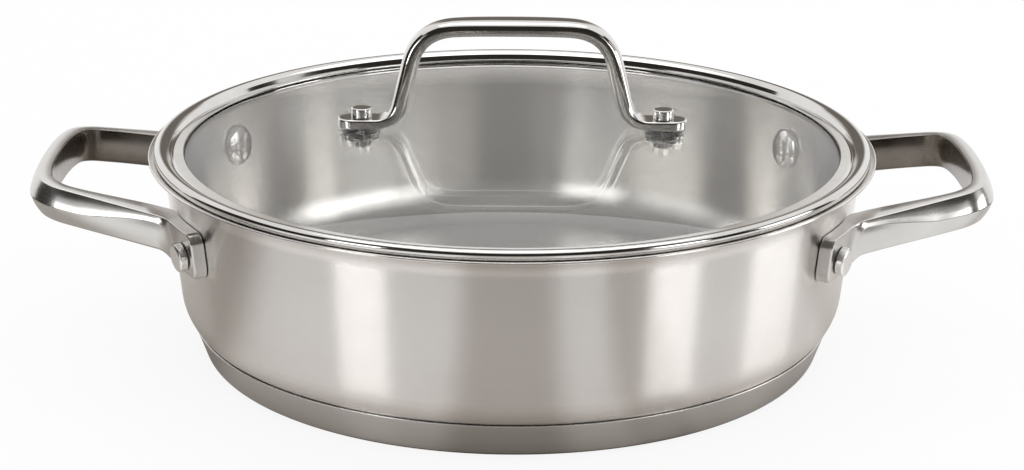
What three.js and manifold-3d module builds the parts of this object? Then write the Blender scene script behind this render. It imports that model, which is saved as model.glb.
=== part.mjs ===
// A shallow steel casserole pot with two riveted loop handles and a domed glass lid.
// Millimetres, +Z up. The origin is the centre of the base underside, and the side handles lie along X.

import * as THREE from 'three';
import { mergeVertices } from 'three/addons/utils/BufferGeometryUtils.js';
import Module from 'manifold-3d';

const wasm = await Module();
wasm.setup();

// Fits and fineness
const FIT_GAP = 0.3;            // between pieces that are pressed or riveted together
const SEAT_GAP = 0.1;           // between flat washers, gaskets and what they lie on
const ROUND_STEPS = 52;         // facets round the pot and the lid
const SMALL_STEPS = 14;         // facets round rivets, screws and washers
const ARC_STEPS = 2;            // half the facets along an arc of a profile

// Pot shell
const MOUTH_RADIUS = 120.3;     // inside of the wall, where the lip starts to flare
const POT_HEIGHT = 71.8;        // floor to the top of the lip
const WALL_THICKNESS = 0.9;
const WALL_TAPER = 0.1;         // radius gained for each millimetre of height
const CORNER_RADIUS = 17;       // outside bend between floor and wall
const FLARE_RADIUS = 7;         // underside of the flared lip
const FLARE_ANGLE = THREE.MathUtils.degToRad(80);

// Encapsulated base
const BASE_SHEET = 0.6;         // steel of the cap
const CORE_THICKNESS = 6;
const BASE_HEIGHT = 12.2;       // top edge of the cap
const BASE_FOOT_RADIUS = 108.8; // where side and underside would meet
const BASE_EDGE = 2.6;          // rounding between them

// Side handles
const HANDLE_PROJECTION = 37.2; // top edge of the loop beyond the lip
const LOOP_HALF_WIDTH = 35.6;   // from the handle's middle to its corners
const LOOP_BOW = 4;             // how far the middle stands out from the corners
const LOOP_CORNER_SETBACK = 9;  // length of each corner's rounding
const LOOP_RISE = 0.165;        // height gained for each millimetre of reach
const BAR_HEIGHT = 12.4;
const BAR_TOP_WIDTH = 4.9;      // flat on top of the loop
const BAR_RIDGE = 3.0;          // how far the outer face swells between its two facets
const BAR_RIDGE_DROP = 6.8;     // from the top of the bar to that swelling
const ARM_ROOT_WIDTH = 8.6;     // flat on top of the arm, where it leaves the flange
const ARM_ROOT_RIDGE_DROP = 2.4;
const BAR_BEVEL = 0.8;
const FLANGE_TOP = 59.6;        // height above the table
const FLANGE_HEIGHT = 16;
const FLANGE_THICKNESS = 4.5;
const FLANGE_TOE = 8;           // from the rivet to the free end of the flange
const FLANGE_HEEL = 12.4;       // from the rivet to the bend
const FLANGE_CLIP = 3;          // cut corners at the free end
const BEND_SETBACK = 5;         // length of the rounding between flange and arm

// Handle rivets
const RIVET_SPACING = 118;      // between the two rivets of a handle
const RIVET_HEIGHT = 50.8;      // above the table
const RIVET_SHANK_RADIUS = 2.5;
const RIVET_HEAD_RADIUS = 4.8;  // outside, on the flange
const RIVET_HEAD_HEIGHT = 2.8;
const RIVET_DOME_RADIUS = 7.2;  // inside the pot
const RIVET_DOME_HEIGHT = 3;

// Lid glass and rim
const BEAD_RADIUS = 1.2;        // round outer edge of the lid rim
const BEAD_RISE = 0.85;         // straight side between the bead's two roundings
const LIP_SHOWING = 2.2;        // pot lip that shows outside the bead
const GLASS_THICKNESS = 4;
const GLASS_RISE = 7.6;         // height of the dome
const GLASS_DROP = 1.2;         // from the bead's lower rounding to the top edge of the glass
const RIM_SHEET = 0.7;
const RIM_LIP_WIDTH = 4.2;      // rim that lies on the glass
const RIM_GROOVE_DEPTH = 0.35;  // crimped line between lip and bead, below the lip
const GROOVE_RUN = 0.8;         // slope from the groove up to the bead
const GROOVE_RISE = 1.6;
const BEAD_SHOULDER = THREE.MathUtils.degToRad(60);
const BEAD_CROWN = 2.2;         // how strongly the top of the bead swells from its shoulder
const SKIRT_CLEARANCE = 0.9;    // between the skirt and the mouth of the pot
const SKIRT_DEPTH = 7.6;        // from the bead's lower rounding to the foot of the skirt
const LOWER_LIP_WIDTH = 3;      // rim that holds the glass from below

// Lid handle
const SCREW_SPACING = 105.8;
const STRAP_WIDTH = 10.4;       // at the feet and legs
const GRIP_WIDTH = 12.8;        // at the middle
const STRAP_THICKNESS = 6;
const STRAP_ROUNDING = 2.3;
const STRAP_TOP = 39.8;         // top of the strap above the glass at the screws
const STRAP_CROWN = 1.8;        // how far the middle of the strap stands above its ends
const LEG_FOOT_HALF = 40.9;     // from the middle of the lid to a leg, at its foot
const LEG_TOP_HALF = 32.8;      // and at its top
const LEG_FOOT_SETBACK = 7.1;   // length of the rounding at the foot of a leg
const LEG_TOP_SETBACK = 11.5;
const FOOT_OVERHANG = 3.2;      // from the screw to the centre of the foot's round end
const FOOT_THICKNESS = 3.2;
const FOOT_ROUNDING = 0.8;

// Lid screws, from the nut down
const NUT_RADIUS = 3.3;
const NUT_HEIGHT = 3;
const NUT_ROOF = 0.9;           // closed end above the screw
const SCREW_RADIUS = 2;
const SCREW_HEAD_RADIUS = 4.4;
const SCREW_HEAD_HEIGHT = 2.2;
const UPPER_GASKET_INSET = 0.3;  // edge of the pad inside the edge of the foot
const UPPER_GASKET_BACK = 0.8;   // from the screw to the centre of the pad's inner end
const UPPER_GASKET_THICKNESS = 0.8;
const COLLAR_RADIUS = 3.4;      // sleeve of the lower gasket in the glass
const LOWER_GASKET_RADIUS = 6.6;
const LOWER_GASKET_THICKNESS = 1.4;
const WASHER_RADIUS = 6;
const WASHER_THICKNESS = 1;

// Pot shell, worked out
const LEAN = Math.atan(WALL_TAPER);
const FLOOR_Z = BASE_SHEET + FIT_GAP + CORE_THICKNESS + FIT_GAP;
const FLARE_Z = POT_HEIGHT - (FLARE_RADIUS + WALL_THICKNESS) * Math.sin(FLARE_ANGLE);
const FLARE_START = FLARE_Z + FLARE_RADIUS * Math.sin(LEAN);
const wallRadius = (z) => MOUTH_RADIUS + WALL_THICKNESS - WALL_TAPER * (FLARE_START - z);
const FLARE_X = wallRadius(FLARE_START) + FLARE_RADIUS * Math.cos(LEAN);
const LIP_RADIUS = FLARE_X - FLARE_RADIUS * Math.cos(FLARE_ANGLE);
const CORNER_Z = FLOOR_Z + CORNER_RADIUS;
const CORNER_X = wallRadius(CORNER_Z - CORNER_RADIUS * Math.sin(LEAN)) - CORNER_RADIUS * Math.cos(LEAN);
const cornerReach = (z, radius) => CORNER_X + Math.sqrt(radius ** 2 - (CORNER_Z - z) ** 2);
const facetSag = (radius) => radius * (1 - Math.cos(Math.PI / ROUND_STEPS));

// Lid, worked out
const BEAD_X = LIP_RADIUS - LIP_SHOWING - BEAD_RADIUS;
const BEAD_REACH = FLARE_RADIUS + WALL_THICKNESS + FIT_GAP + BEAD_RADIUS;
const BEAD_Z = FLARE_Z + Math.sqrt(BEAD_REACH ** 2 - (FLARE_X - BEAD_X) ** 2);
const SKIRT_RADIUS = MOUTH_RADIUS - SKIRT_CLEARANCE;
const GLASS_RADIUS = SKIRT_RADIUS - RIM_SHEET - FIT_GAP;
const GLASS_EDGE_Z = BEAD_Z - GLASS_DROP;
const DOME_RADIUS = (GLASS_RADIUS ** 2 + GLASS_RISE ** 2) / (2 * GLASS_RISE);
const DOME_Z = GLASS_EDGE_Z + GLASS_RISE - DOME_RADIUS;
const glassTop = (radius) => DOME_Z + Math.sqrt(DOME_RADIUS ** 2 - radius ** 2);
const glassUnder = (radius) => glassTop(radius) - GLASS_THICKNESS;
const SCREW_X = SCREW_SPACING / 2;
const FOOT_Z = glassTop(SCREW_X) + UPPER_GASKET_THICKNESS;
const NUT_Z = FOOT_Z + FOOT_THICKNESS + SEAT_GAP;
const WASHER_TOP = glassUnder(SCREW_X) - LOWER_GASKET_THICKNESS - SEAT_GAP;
const SCREW_HEAD_TOP = WASHER_TOP - WASHER_THICKNESS - SEAT_GAP;
const SCREW_HOLE_RADIUS = SCREW_RADIUS + FIT_GAP;

// Solids from three.js geometry, and back

function solid(geometry, matrix = new THREE.Matrix4()) {
  geometry.deleteAttribute('normal');
  geometry.deleteAttribute('uv');
  const welded = mergeVertices(geometry.applyMatrix4(matrix));
  const corners = welded.index.array;
  const triangles = [];
  for (let i = 0; i < corners.length; i += 3) {
    const [a, b, c] = corners.slice(i, i + 3);
    if (a !== b && b !== c && c !== a) {
      triangles.push(a, b, c);
    }
  }
  const mesh = new wasm.Mesh({
    numProp: 3,
    vertProperties: new Float32Array(welded.attributes.position.array),
    triVerts: new Uint32Array(triangles),
  });
  return new wasm.Manifold(mesh);
}

function geometryOf(manifold) {
  const { vertProperties, triVerts } = manifold.getMesh();
  const geometry = new THREE.BufferGeometry();
  geometry.setAttribute('position', new THREE.BufferAttribute(vertProperties, 3));
  geometry.setIndex(new THREE.BufferAttribute(triVerts, 1));
  geometry.computeVertexNormals();
  return geometry;
}

// A profile of radius and height, drawn anticlockwise and turned about Z
function revolve(profile, steps, matrix) {
  const geometry = new THREE.LatheGeometry(profile.getPoints(ARC_STEPS), steps);
  return solid(geometry.rotateX(Math.PI / 2), matrix);
}

function outline(points) {
  const path = new THREE.Path();
  path.setFromPoints(points.map(([x, z]) => new THREE.Vector2(x, z)));
  return path;
}

function disc(radius, low, high, matrix) {
  const profile = outline([[0, low], [radius, low], [radius, high], [0, high]]);
  return revolve(profile, SMALL_STEPS, matrix);
}

function ring(innerRadius, outerRadius, low, high) {
  const corners = [[innerRadius, low], [outerRadius, low], [outerRadius, high], [innerRadius, high]];
  return revolve(outline([...corners, corners[0]]), SMALL_STEPS);
}

const at = (x, y, z) => new THREE.Matrix4().makeTranslation(x, y, z);

// A skin through rings of points that all have the same count, closed at both ends
function loft(rings) {
  const count = rings[0].length;
  const index = [];
  for (let r = 0; r + 1 < rings.length; r += 1) {
    for (let i = 0; i < count; i += 1) {
      const a = r * count + i;
      const b = r * count + ((i + 1) % count);
      index.push(a, b, b + count, a, b + count, a + count);
    }
  }
  const last = (rings.length - 1) * count;
  for (let i = 1; i + 1 < count; i += 1) {
    index.push(0, i + 1, i, last, last + i, last + i + 1);
  }
  const geometry = new THREE.BufferGeometry();
  geometry.setAttribute('position', new THREE.Float32BufferAttribute(rings.flat(2), 3));
  geometry.setIndex(index);
  return solid(geometry);
}

// Rivets stand square to the leaning wall. Local Z points out of the pot, from the wall's outside.
const RIVET_RADIUS_AT = wallRadius(RIVET_HEIGHT);
const RIVET_ANGLE = Math.asin(RIVET_SPACING / 2 / RIVET_RADIUS_AT);

function rivetPlace(angle) {
  const radius = RIVET_RADIUS_AT;
  const place = new THREE.Object3D();
  place.rotation.set(0, Math.PI / 2 + LEAN, angle, 'ZYX');
  place.position.set(radius * Math.cos(angle), radius * Math.sin(angle), RIVET_HEIGHT);
  return place;
}

function rivetHole(angle) {
  const place = rivetPlace(angle);
  place.updateMatrix();
  const reach = RIVET_DOME_RADIUS + FLANGE_THICKNESS;
  return disc(RIVET_SHANK_RADIUS + FIT_GAP, -reach, reach, place.matrix);
}

const RIVETS = {
  front_right_rivet: -RIVET_ANGLE,
  rear_right_rivet: RIVET_ANGLE,
  rear_left_rivet: Math.PI - RIVET_ANGLE,
  front_left_rivet: Math.PI + RIVET_ANGLE,
};

// Pot shell: floor, rounded corner, tapered wall and flared lip
function potBody() {
  const up = Math.PI - LEAN;
  const out = Math.PI - FLARE_ANGLE;
  const profile = new THREE.Path();
  profile.moveTo(0, FLOOR_Z);
  profile.lineTo(CORNER_X, FLOOR_Z);
  profile.absarc(CORNER_X, CORNER_Z, CORNER_RADIUS, -Math.PI / 2, -LEAN, false);
  profile.absarc(FLARE_X, FLARE_Z, FLARE_RADIUS, up, out, true);
  profile.absarc(FLARE_X, FLARE_Z, FLARE_RADIUS + WALL_THICKNESS, out, up, false);
  profile.absarc(CORNER_X, CORNER_Z, CORNER_RADIUS - WALL_THICKNESS, -LEAN, -Math.PI / 2, true);
  profile.lineTo(0, FLOOR_Z + WALL_THICKNESS);
  const shell = revolve(profile, ROUND_STEPS);
  return Object.values(RIVETS).reduce((body, angle) => body.subtract(rivetHole(angle)), shell);
}

// Base cap: its side runs from the foot up to the pot's corner, where its edge shows as a line
const CAP_RIM = cornerReach(BASE_HEIGHT, CORNER_RADIUS) + FIT_GAP + BASE_SHEET;
const CAP_SLOPE = (CAP_RIM - BASE_FOOT_RADIUS) / BASE_HEIGHT;
const capSide = (z) => BASE_FOOT_RADIUS + CAP_SLOPE * z;

function capProfile(profile, inset, low, high) {
  const corner = capSide(low) - inset;
  profile.moveTo(0, low);
  profile.lineTo(corner - BASE_EDGE, low);
  profile.quadraticCurveTo(corner, low, capSide(low + BASE_EDGE) - inset, low + BASE_EDGE);
  profile.lineTo(capSide(high) - inset, high);
}

function baseCap() {
  const profile = new THREE.Path();
  capProfile(profile, 0, 0, BASE_HEIGHT);
  const inside = capSide(BASE_SHEET) - BASE_SHEET;
  profile.lineTo(CAP_RIM - BASE_SHEET, BASE_HEIGHT);
  profile.lineTo(capSide(BASE_SHEET + BASE_EDGE) - BASE_SHEET, BASE_SHEET + BASE_EDGE);
  profile.quadraticCurveTo(inside, BASE_SHEET, inside - BASE_EDGE, BASE_SHEET);
  profile.lineTo(0, BASE_SHEET);
  return revolve(profile, ROUND_STEPS);
}

// Base core: fills the cap and takes the rounded corner of the pot
function baseCore() {
  const bed = CORNER_RADIUS + FIT_GAP;
  const inset = BASE_SHEET + FIT_GAP;
  const low = BASE_SHEET + FIT_GAP;
  const high = low + CORE_THICKNESS;
  const wingTop = (high + BASE_HEIGHT) / 2;
  const wingAngle = Math.asin((CORNER_Z - wingTop) / bed);
  const profile = new THREE.Path();
  capProfile(profile, inset, low, wingTop);
  profile.absarc(CORNER_X, CORNER_Z, bed, -wingAngle, -Math.PI / 2, true);
  profile.lineTo(0, high);
  return revolve(profile, ROUND_STEPS);
}

// Side handle, lying towards +X: a cast bar whose two ends are bent into flanges
const FLANGE_MIDDLE = FLANGE_TOP - FLANGE_HEIGHT / 2;
const FACE_RADIUS = wallRadius(FLANGE_MIDDLE) + FIT_GAP + FLANGE_THICKNESS;
const CUT_ALLOWANCE = FIT_GAP + WALL_TAPER * FLANGE_HEIGHT;

const FLANGE_SECTION = {
  height: FLANGE_HEIGHT,
  width: FLANGE_THICKNESS + CUT_ALLOWANCE,
  ridge: 0,
  ridgeDrop: FLANGE_HEIGHT / 2,
  lean: 1,
  clip: 0,
};
const FLANGE_END_SECTION = { ...FLANGE_SECTION, clip: FLANGE_CLIP };
const ARM_ROOT_SECTION = {
  height: BAR_HEIGHT,
  width: ARM_ROOT_WIDTH,
  ridge: BAR_RIDGE / 4,
  ridgeDrop: ARM_ROOT_RIDGE_DROP,
  lean: 0,
  clip: 0,
};
const BAR_SECTION = {
  ...ARM_ROOT_SECTION,
  width: BAR_TOP_WIDTH,
  ridge: BAR_RIDGE,
  ridgeDrop: BAR_RIDGE_DROP,
};

function blend(from, to, t) {
  const keys = Object.keys(from);
  return Object.fromEntries(keys.map((key) => [key, THREE.MathUtils.lerp(from[key], to[key], t)]));
}

// Plan of the outer top edge, from the free end of the front flange to the middle of the loop
function handleSpans() {
  const polar = (angle) => new THREE.Vector2(Math.cos(angle), Math.sin(angle)).multiplyScalar(FACE_RADIUS);
  const step = (from, to, length) => to.clone().sub(from).normalize().multiplyScalar(length).add(from);
  const along = (length) => length / FACE_RADIUS - RIVET_ANGLE;
  const arc = (from, to) => new THREE.EllipseCurve(0, 0, FACE_RADIUS, FACE_RADIUS, along(from), along(to));
  const bend = polar(along(FLANGE_HEEL));
  const middle = new THREE.Vector2(LIP_RADIUS + HANDLE_PROJECTION, 0);
  const corner = new THREE.Vector2(middle.x - LOOP_BOW, -LOOP_HALF_WIDTH);
  const bowControl = new THREE.Vector2(middle.x, -LOOP_HALF_WIDTH / 2);
  const armStart = step(bend, corner, BEND_SETBACK);
  const armEnd = step(corner, bend, LOOP_CORNER_SETBACK);
  const bowStart = step(corner, bowControl, LOOP_CORNER_SETBACK);
  const flangeRoot = FLANGE_HEEL - BEND_SETBACK;
  const span = (curve, steps, from, to) => ({ curve, steps, from, to });
  const clipped = FLANGE_CLIP / 2 - FLANGE_TOE;
  const bendCurve = new THREE.QuadraticBezierCurve(polar(along(flangeRoot)), bend, armStart);
  const cornerCurve = new THREE.QuadraticBezierCurve(armEnd, corner, bowStart);
  const bowCurve = new THREE.QuadraticBezierCurve(bowStart, bowControl, middle);
  return [
    span(arc(-FLANGE_TOE, clipped), 1, FLANGE_END_SECTION, FLANGE_SECTION),
    span(arc(clipped, flangeRoot), 3, FLANGE_SECTION, FLANGE_SECTION),
    span(bendCurve, 4, FLANGE_SECTION, ARM_ROOT_SECTION),
    span(new THREE.LineCurve(armStart, armEnd), 4, ARM_ROOT_SECTION, BAR_SECTION),
    span(cornerCurve, 5, BAR_SECTION, BAR_SECTION),
    span(bowCurve, 3, BAR_SECTION, BAR_SECTION),
  ];
}

// Ring of points across the bar. Offsets run outwards from the edge, heights run up from the table.
function barRing(edge, outward, section) {
  const reach = Math.max(0, edge.x - FACE_RADIUS * Math.cos(RIVET_ANGLE - FLANGE_HEEL / FACE_RADIUS));
  const top = FLANGE_TOP + LOOP_RISE * reach - section.clip;
  const low = FLANGE_TOP + LOOP_RISE * reach - section.height + section.clip;
  const ridge = top - Math.min(section.ridgeDrop, (top - low) / 2 + BAR_BEVEL);
  const b = BAR_BEVEL;
  const shape = [
    [-b, top],
    [0, top - b],
    [section.ridge, ridge + b],
    [section.ridge, ridge - b],
    [0, low + b],
    [-b, low],
    [b - section.width, low],
    [-section.width, low + b],
    [-section.width, top - b],
    [b - section.width, top],
  ];
  return shape.map(([offset, z]) => {
    const n = offset + section.lean * WALL_TAPER * (z - FLANGE_MIDDLE);
    return [edge.x + outward.x * n, edge.y + outward.y * n, z];
  });
}

function sideHandle() {
  const half = [];
  for (const { curve, steps, from, to } of handleSpans()) {
    for (let i = half.length ? 1 : 0; i <= steps; i += 1) {
      const t = i / steps;
      const tangent = curve.getTangent(t);
      const outward = new THREE.Vector2(tangent.y, -tangent.x);
      half.push(barRing(curve.getPoint(t), outward, blend(from, to, THREE.MathUtils.smoothstep(t, 0, 1))));
    }
  }
  const mirrored = half.slice(0, -1).reverse().map((points) => points.map(([x, y, z]) => [x, -y, z]));
  const bar = loft([...half, ...mirrored]);
  const low = FLANGE_TOP - FLANGE_HEIGHT - BAR_HEIGHT;
  const seat = outline([
    [0, low],
    [wallRadius(low) + FIT_GAP, low],
    [wallRadius(POT_HEIGHT) + FIT_GAP, POT_HEIGHT],
    [0, POT_HEIGHT],
  ]);
  const seated = bar.subtract(revolve(seat, ROUND_STEPS));
  return [-RIVET_ANGLE, RIVET_ANGLE].reduce((body, angle) => body.subtract(rivetHole(angle)), seated);
}

// Rivet: flat-topped head on the flange, shank through the wall and a low dome inside the pot
function rivet() {
  const headLow = FIT_GAP + FLANGE_THICKNESS + FIT_GAP;
  const headHigh = headLow + RIVET_HEAD_HEIGHT;
  const headEdge = RIVET_HEAD_HEIGHT / 4;
  const wallInside = MOUTH_RADIUS;
  const domeSag = RIVET_DOME_RADIUS ** 2 / (2 * wallInside) + facetSag(wallInside);
  const domeHigh = -(WALL_THICKNESS + FIT_GAP + domeSag);
  const domeEdge = RIVET_DOME_HEIGHT / 4;
  const profile = new THREE.Path();
  profile.moveTo(0, domeHigh - RIVET_DOME_HEIGHT);
  profile.quadraticCurveTo(
    RIVET_DOME_RADIUS * 0.7, domeHigh - RIVET_DOME_HEIGHT,
    RIVET_DOME_RADIUS, domeHigh - domeEdge,
  );
  profile.lineTo(RIVET_DOME_RADIUS, domeHigh);
  profile.lineTo(RIVET_SHANK_RADIUS, domeHigh);
  profile.lineTo(RIVET_SHANK_RADIUS, headLow);
  profile.lineTo(RIVET_HEAD_RADIUS, headLow);
  profile.lineTo(RIVET_HEAD_RADIUS, headHigh - headEdge);
  profile.quadraticCurveTo(RIVET_HEAD_RADIUS - headEdge, headHigh, 0, headHigh);
  return revolve(profile, SMALL_STEPS);
}

// Lid glass: a thin dome with a hole for each screw
function lidGlass() {
  const edgeAngle = Math.acos(GLASS_RADIUS / DOME_RADIUS);
  const profile = new THREE.Path();
  profile.absarc(0, DOME_Z - GLASS_THICKNESS, DOME_RADIUS, Math.PI / 2, edgeAngle, true);
  profile.absarc(0, DOME_Z, DOME_RADIUS, edgeAngle, Math.PI / 2, false);
  const glass = revolve(profile, ROUND_STEPS);
  const hole = (x) => disc(COLLAR_RADIUS + FIT_GAP, FLOOR_Z, DOME_Z + 2 * DOME_RADIUS, at(x, 0, 0));
  return glass.subtract(hole(SCREW_X)).subtract(hole(-SCREW_X));
}

// Lid rim: lip on the glass, crimped groove, bead that rests on the pot, skirt and lower lip
function lidRim() {
  const pocket = GLASS_RADIUS + FIT_GAP;
  const lipEnd = pocket - RIM_LIP_WIDTH;
  const lowerEnd = pocket - LOWER_LIP_WIDTH;
  const skirtInside = SKIRT_RADIUS - 2 * RIM_SHEET;
  const skirtFoot = BEAD_Z - SKIRT_DEPTH;
  const lipUnder = (x) => glassTop(x) + FIT_GAP;
  const lowerTop = (x) => glassUnder(x) - FIT_GAP;
  const hem = RIM_SHEET / 2;
  const grooveX = pocket + hem / 2;
  const groove = lipUnder(pocket) + RIM_SHEET - RIM_GROOVE_DEPTH;
  const shoulderX = BEAD_X + BEAD_RADIUS * Math.cos(BEAD_SHOULDER);
  const shoulderZ = BEAD_Z + BEAD_RISE + BEAD_RADIUS * Math.sin(BEAD_SHOULDER);
  const profile = new THREE.Path();
  profile.moveTo(lowerEnd, lowerTop(lowerEnd) - RIM_SHEET);
  profile.lineTo(skirtInside, lowerTop(skirtInside) - RIM_SHEET);
  profile.lineTo(skirtInside, skirtFoot + hem);
  profile.lineTo(skirtInside + hem, skirtFoot);
  profile.lineTo(SKIRT_RADIUS - hem, skirtFoot);
  profile.lineTo(SKIRT_RADIUS, skirtFoot + hem);
  profile.lineTo(SKIRT_RADIUS, BEAD_Z - BEAD_RADIUS - hem);
  profile.lineTo(SKIRT_RADIUS + hem, BEAD_Z - BEAD_RADIUS);
  profile.absarc(BEAD_X, BEAD_Z, BEAD_RADIUS, -Math.PI / 2, 0, false);
  profile.absarc(BEAD_X, BEAD_Z + BEAD_RISE, BEAD_RADIUS, 0, BEAD_SHOULDER, false);
  profile.quadraticCurveTo(
    shoulderX - BEAD_CROWN * Math.sin(BEAD_SHOULDER), shoulderZ + BEAD_CROWN * Math.cos(BEAD_SHOULDER),
    grooveX + GROOVE_RUN, groove + GROOVE_RISE,
  );
  profile.lineTo(grooveX, groove);
  profile.lineTo(pocket - RIM_SHEET, lipUnder(pocket - RIM_SHEET) + RIM_SHEET);
  profile.lineTo(lipEnd + hem, lipUnder(lipEnd) + RIM_SHEET);
  profile.lineTo(lipEnd, lipUnder(lipEnd) + hem);
  profile.lineTo(lipEnd, lipUnder(lipEnd));
  profile.lineTo(pocket, lipUnder(pocket));
  profile.lineTo(pocket, lowerTop(pocket));
  profile.lineTo(lowerEnd, lowerTop(lowerEnd));
  profile.closePath();
  return revolve(profile, ROUND_STEPS);
}

// Lid handle: a strap bent over the lid, flattened into a foot with a round end on each side
function strapRing(centre, normal, width, thickness, rounding) {
  const w = width / 2;
  const h = thickness / 2;
  const r = Math.min(rounding, w, h);
  const corners = [[w - r, h - r], [r - w, h - r], [r - w, r - h], [w - r, r - h]];
  return corners.flatMap(([y, n], quarter) => [0, 1, 2].map((i) => {
    const turn = (quarter + i / 2) * (Math.PI / 2);
    const across = y + r * Math.cos(turn);
    const out = n + r * Math.sin(turn);
    return [centre.x + normal.x * out, across, centre.y + normal.y * out];
  }));
}

function lidHandle() {
  const footMiddle = FOOT_Z + FOOT_THICKNESS / 2;
  const strapMiddle = glassTop(SCREW_X) + STRAP_TOP - STRAP_THICKNESS / 2;
  const point = (x, z) => new THREE.Vector2(x, z);
  const step = (from, to, length) => to.clone().sub(from).normalize().multiplyScalar(length).add(from);
  const screw = point(-SCREW_X, footMiddle);
  const legFoot = point(-LEG_FOOT_HALF, footMiddle);
  const legTop = point(-LEG_TOP_HALF, strapMiddle - STRAP_CROWN);
  const crown = point(0, strapMiddle);
  const crownControl = point(-LEG_TOP_HALF / 2, strapMiddle);
  const bendLow = step(legFoot, screw, LEG_FOOT_SETBACK);
  const legLow = step(legFoot, legTop, LEG_FOOT_SETBACK);
  const legHigh = step(legTop, legFoot, LEG_TOP_SETBACK);
  const bendHigh = step(legTop, crownControl, LEG_TOP_SETBACK);
  const rings = [];
  const add = (centre, tangent, width, thickness, rounding) => {
    rings.push(strapRing(centre, point(-tangent.y, tangent.x), width, thickness, rounding));
  };
  // Foot with a round end, swept across its own half circle
  const footEnd = screw.x - FOOT_OVERHANG;
  for (const angle of [-80, -60, -40, -20, 0].map(THREE.MathUtils.degToRad)) {
    const centre = point(footEnd + (STRAP_WIDTH / 2) * Math.sin(angle), footMiddle);
    add(centre, point(1, 0), STRAP_WIDTH * Math.cos(angle), FOOT_THICKNESS, FOOT_ROUNDING);
  }
  // Bend at the foot, where the strap takes its full thickness
  const lowBend = new THREE.QuadraticBezierCurve(bendLow, legFoot, legLow);
  for (const t of [0, 0.3, 0.6, 1]) {
    const thickness = THREE.MathUtils.lerp(FOOT_THICKNESS, STRAP_THICKNESS, t);
    const rounding = THREE.MathUtils.lerp(FOOT_ROUNDING, STRAP_ROUNDING, t);
    add(lowBend.getPoint(t), lowBend.getTangent(t), STRAP_WIDTH, thickness, rounding);
  }
  // Bend at the top and the slightly crowned grip, which is widest at the middle
  const highBend = new THREE.QuadraticBezierCurve(legHigh, legTop, bendHigh);
  const grip = new THREE.QuadraticBezierCurve(bendHigh, crownControl, crown);
  const widthAt = (x) => THREE.MathUtils.lerp(GRIP_WIDTH, STRAP_WIDTH, Math.min(1, (x / LEG_TOP_HALF) ** 2));
  for (const [curve, places] of [[highBend, [0, 0.25, 0.5, 0.75, 1]], [grip, [0.5, 1]]]) {
    for (const t of places) {
      const centre = curve.getPoint(t);
      add(centre, curve.getTangent(t), widthAt(centre.x), STRAP_THICKNESS, STRAP_ROUNDING);
    }
  }
  const mirrorOrder = (points) => points.map(([x, y, z]) => [-x, y, z]);
  const strap = loft([...rings, ...rings.slice(0, -1).reverse().map(mirrorOrder)]);
  const hole = (x) => disc(SCREW_HOLE_RADIUS, FLOOR_Z, NUT_Z + FOOT_THICKNESS, at(x, 0, 0));
  return strap.subtract(hole(SCREW_X)).subtract(hole(-SCREW_X));
}

// Fastening of a lid foot, about its own axis
function lidNut() {
  const high = NUT_Z + NUT_HEIGHT;
  const edge = NUT_HEIGHT / 8;
  return revolve(outline([
    [SCREW_HOLE_RADIUS, NUT_Z],
    [NUT_RADIUS, NUT_Z],
    [NUT_RADIUS, high - edge],
    [NUT_RADIUS - edge, high],
    [0, high],
    [0, high - NUT_ROOF],
    [SCREW_HOLE_RADIUS, high - NUT_ROOF],
    [SCREW_HOLE_RADIUS, NUT_Z],
  ]), SMALL_STEPS);
}

function lidScrew() {
  const tip = NUT_Z + NUT_HEIGHT - NUT_ROOF - FIT_GAP;
  const low = SCREW_HEAD_TOP - SCREW_HEAD_HEIGHT;
  const edge = SCREW_HEAD_HEIGHT / 3;
  return revolve(outline([
    [0, low],
    [SCREW_HEAD_RADIUS - edge, low],
    [SCREW_HEAD_RADIUS, low + edge],
    [SCREW_HEAD_RADIUS, SCREW_HEAD_TOP],
    [SCREW_RADIUS, SCREW_HEAD_TOP],
    [SCREW_RADIUS, tip],
    [0, tip],
  ]), SMALL_STEPS);
}

// The gaskets are moulded to the dome: each is cut from a plain ring by the glass it lies on
function domeBelow(offset) {
  const low = DOME_Z + DOME_RADIUS - GLASS_RISE - 2 * GLASS_THICKNESS - GLASS_RISE;
  const edgeAngle = Math.acos(GLASS_RADIUS / DOME_RADIUS);
  const profile = new THREE.Path();
  profile.moveTo(0, low);
  profile.lineTo(GLASS_RADIUS, low);
  profile.absarc(0, DOME_Z + offset, DOME_RADIUS, edgeAngle, Math.PI / 2, false);
  return revolve(profile, ROUND_STEPS, at(-SCREW_X, 0, 0));
}

function upperGasket() {
  const radius = STRAP_WIDTH / 2 - UPPER_GASKET_INSET;
  const low = FOOT_Z - GLASS_THICKNESS;
  const high = FOOT_Z - SEAT_GAP;
  const ends = [FOOT_OVERHANG, -UPPER_GASKET_BACK].map((x) => disc(radius, low, high, at(x, 0, 0)));
  const hole = disc(SCREW_HOLE_RADIUS, low - FOOT_THICKNESS, high + FOOT_THICKNESS);
  return wasm.Manifold.hull(ends).subtract(hole).subtract(domeBelow(SEAT_GAP));
}

function lowerGasket() {
  const low = WASHER_TOP + SEAT_GAP;
  const flange = ring(SCREW_HOLE_RADIUS, LOWER_GASKET_RADIUS, low, low + GLASS_THICKNESS);
  const collarTop = glassTop(SCREW_X + COLLAR_RADIUS) - FIT_GAP;
  const collar = ring(SCREW_HOLE_RADIUS, COLLAR_RADIUS, low, collarTop);
  return flange.intersect(domeBelow(-GLASS_THICKNESS - SEAT_GAP)).add(collar);
}

const lowerWasher = () => ring(SCREW_HOLE_RADIUS, WASHER_RADIUS, WASHER_TOP - WASHER_THICKNESS, WASHER_TOP);

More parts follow.
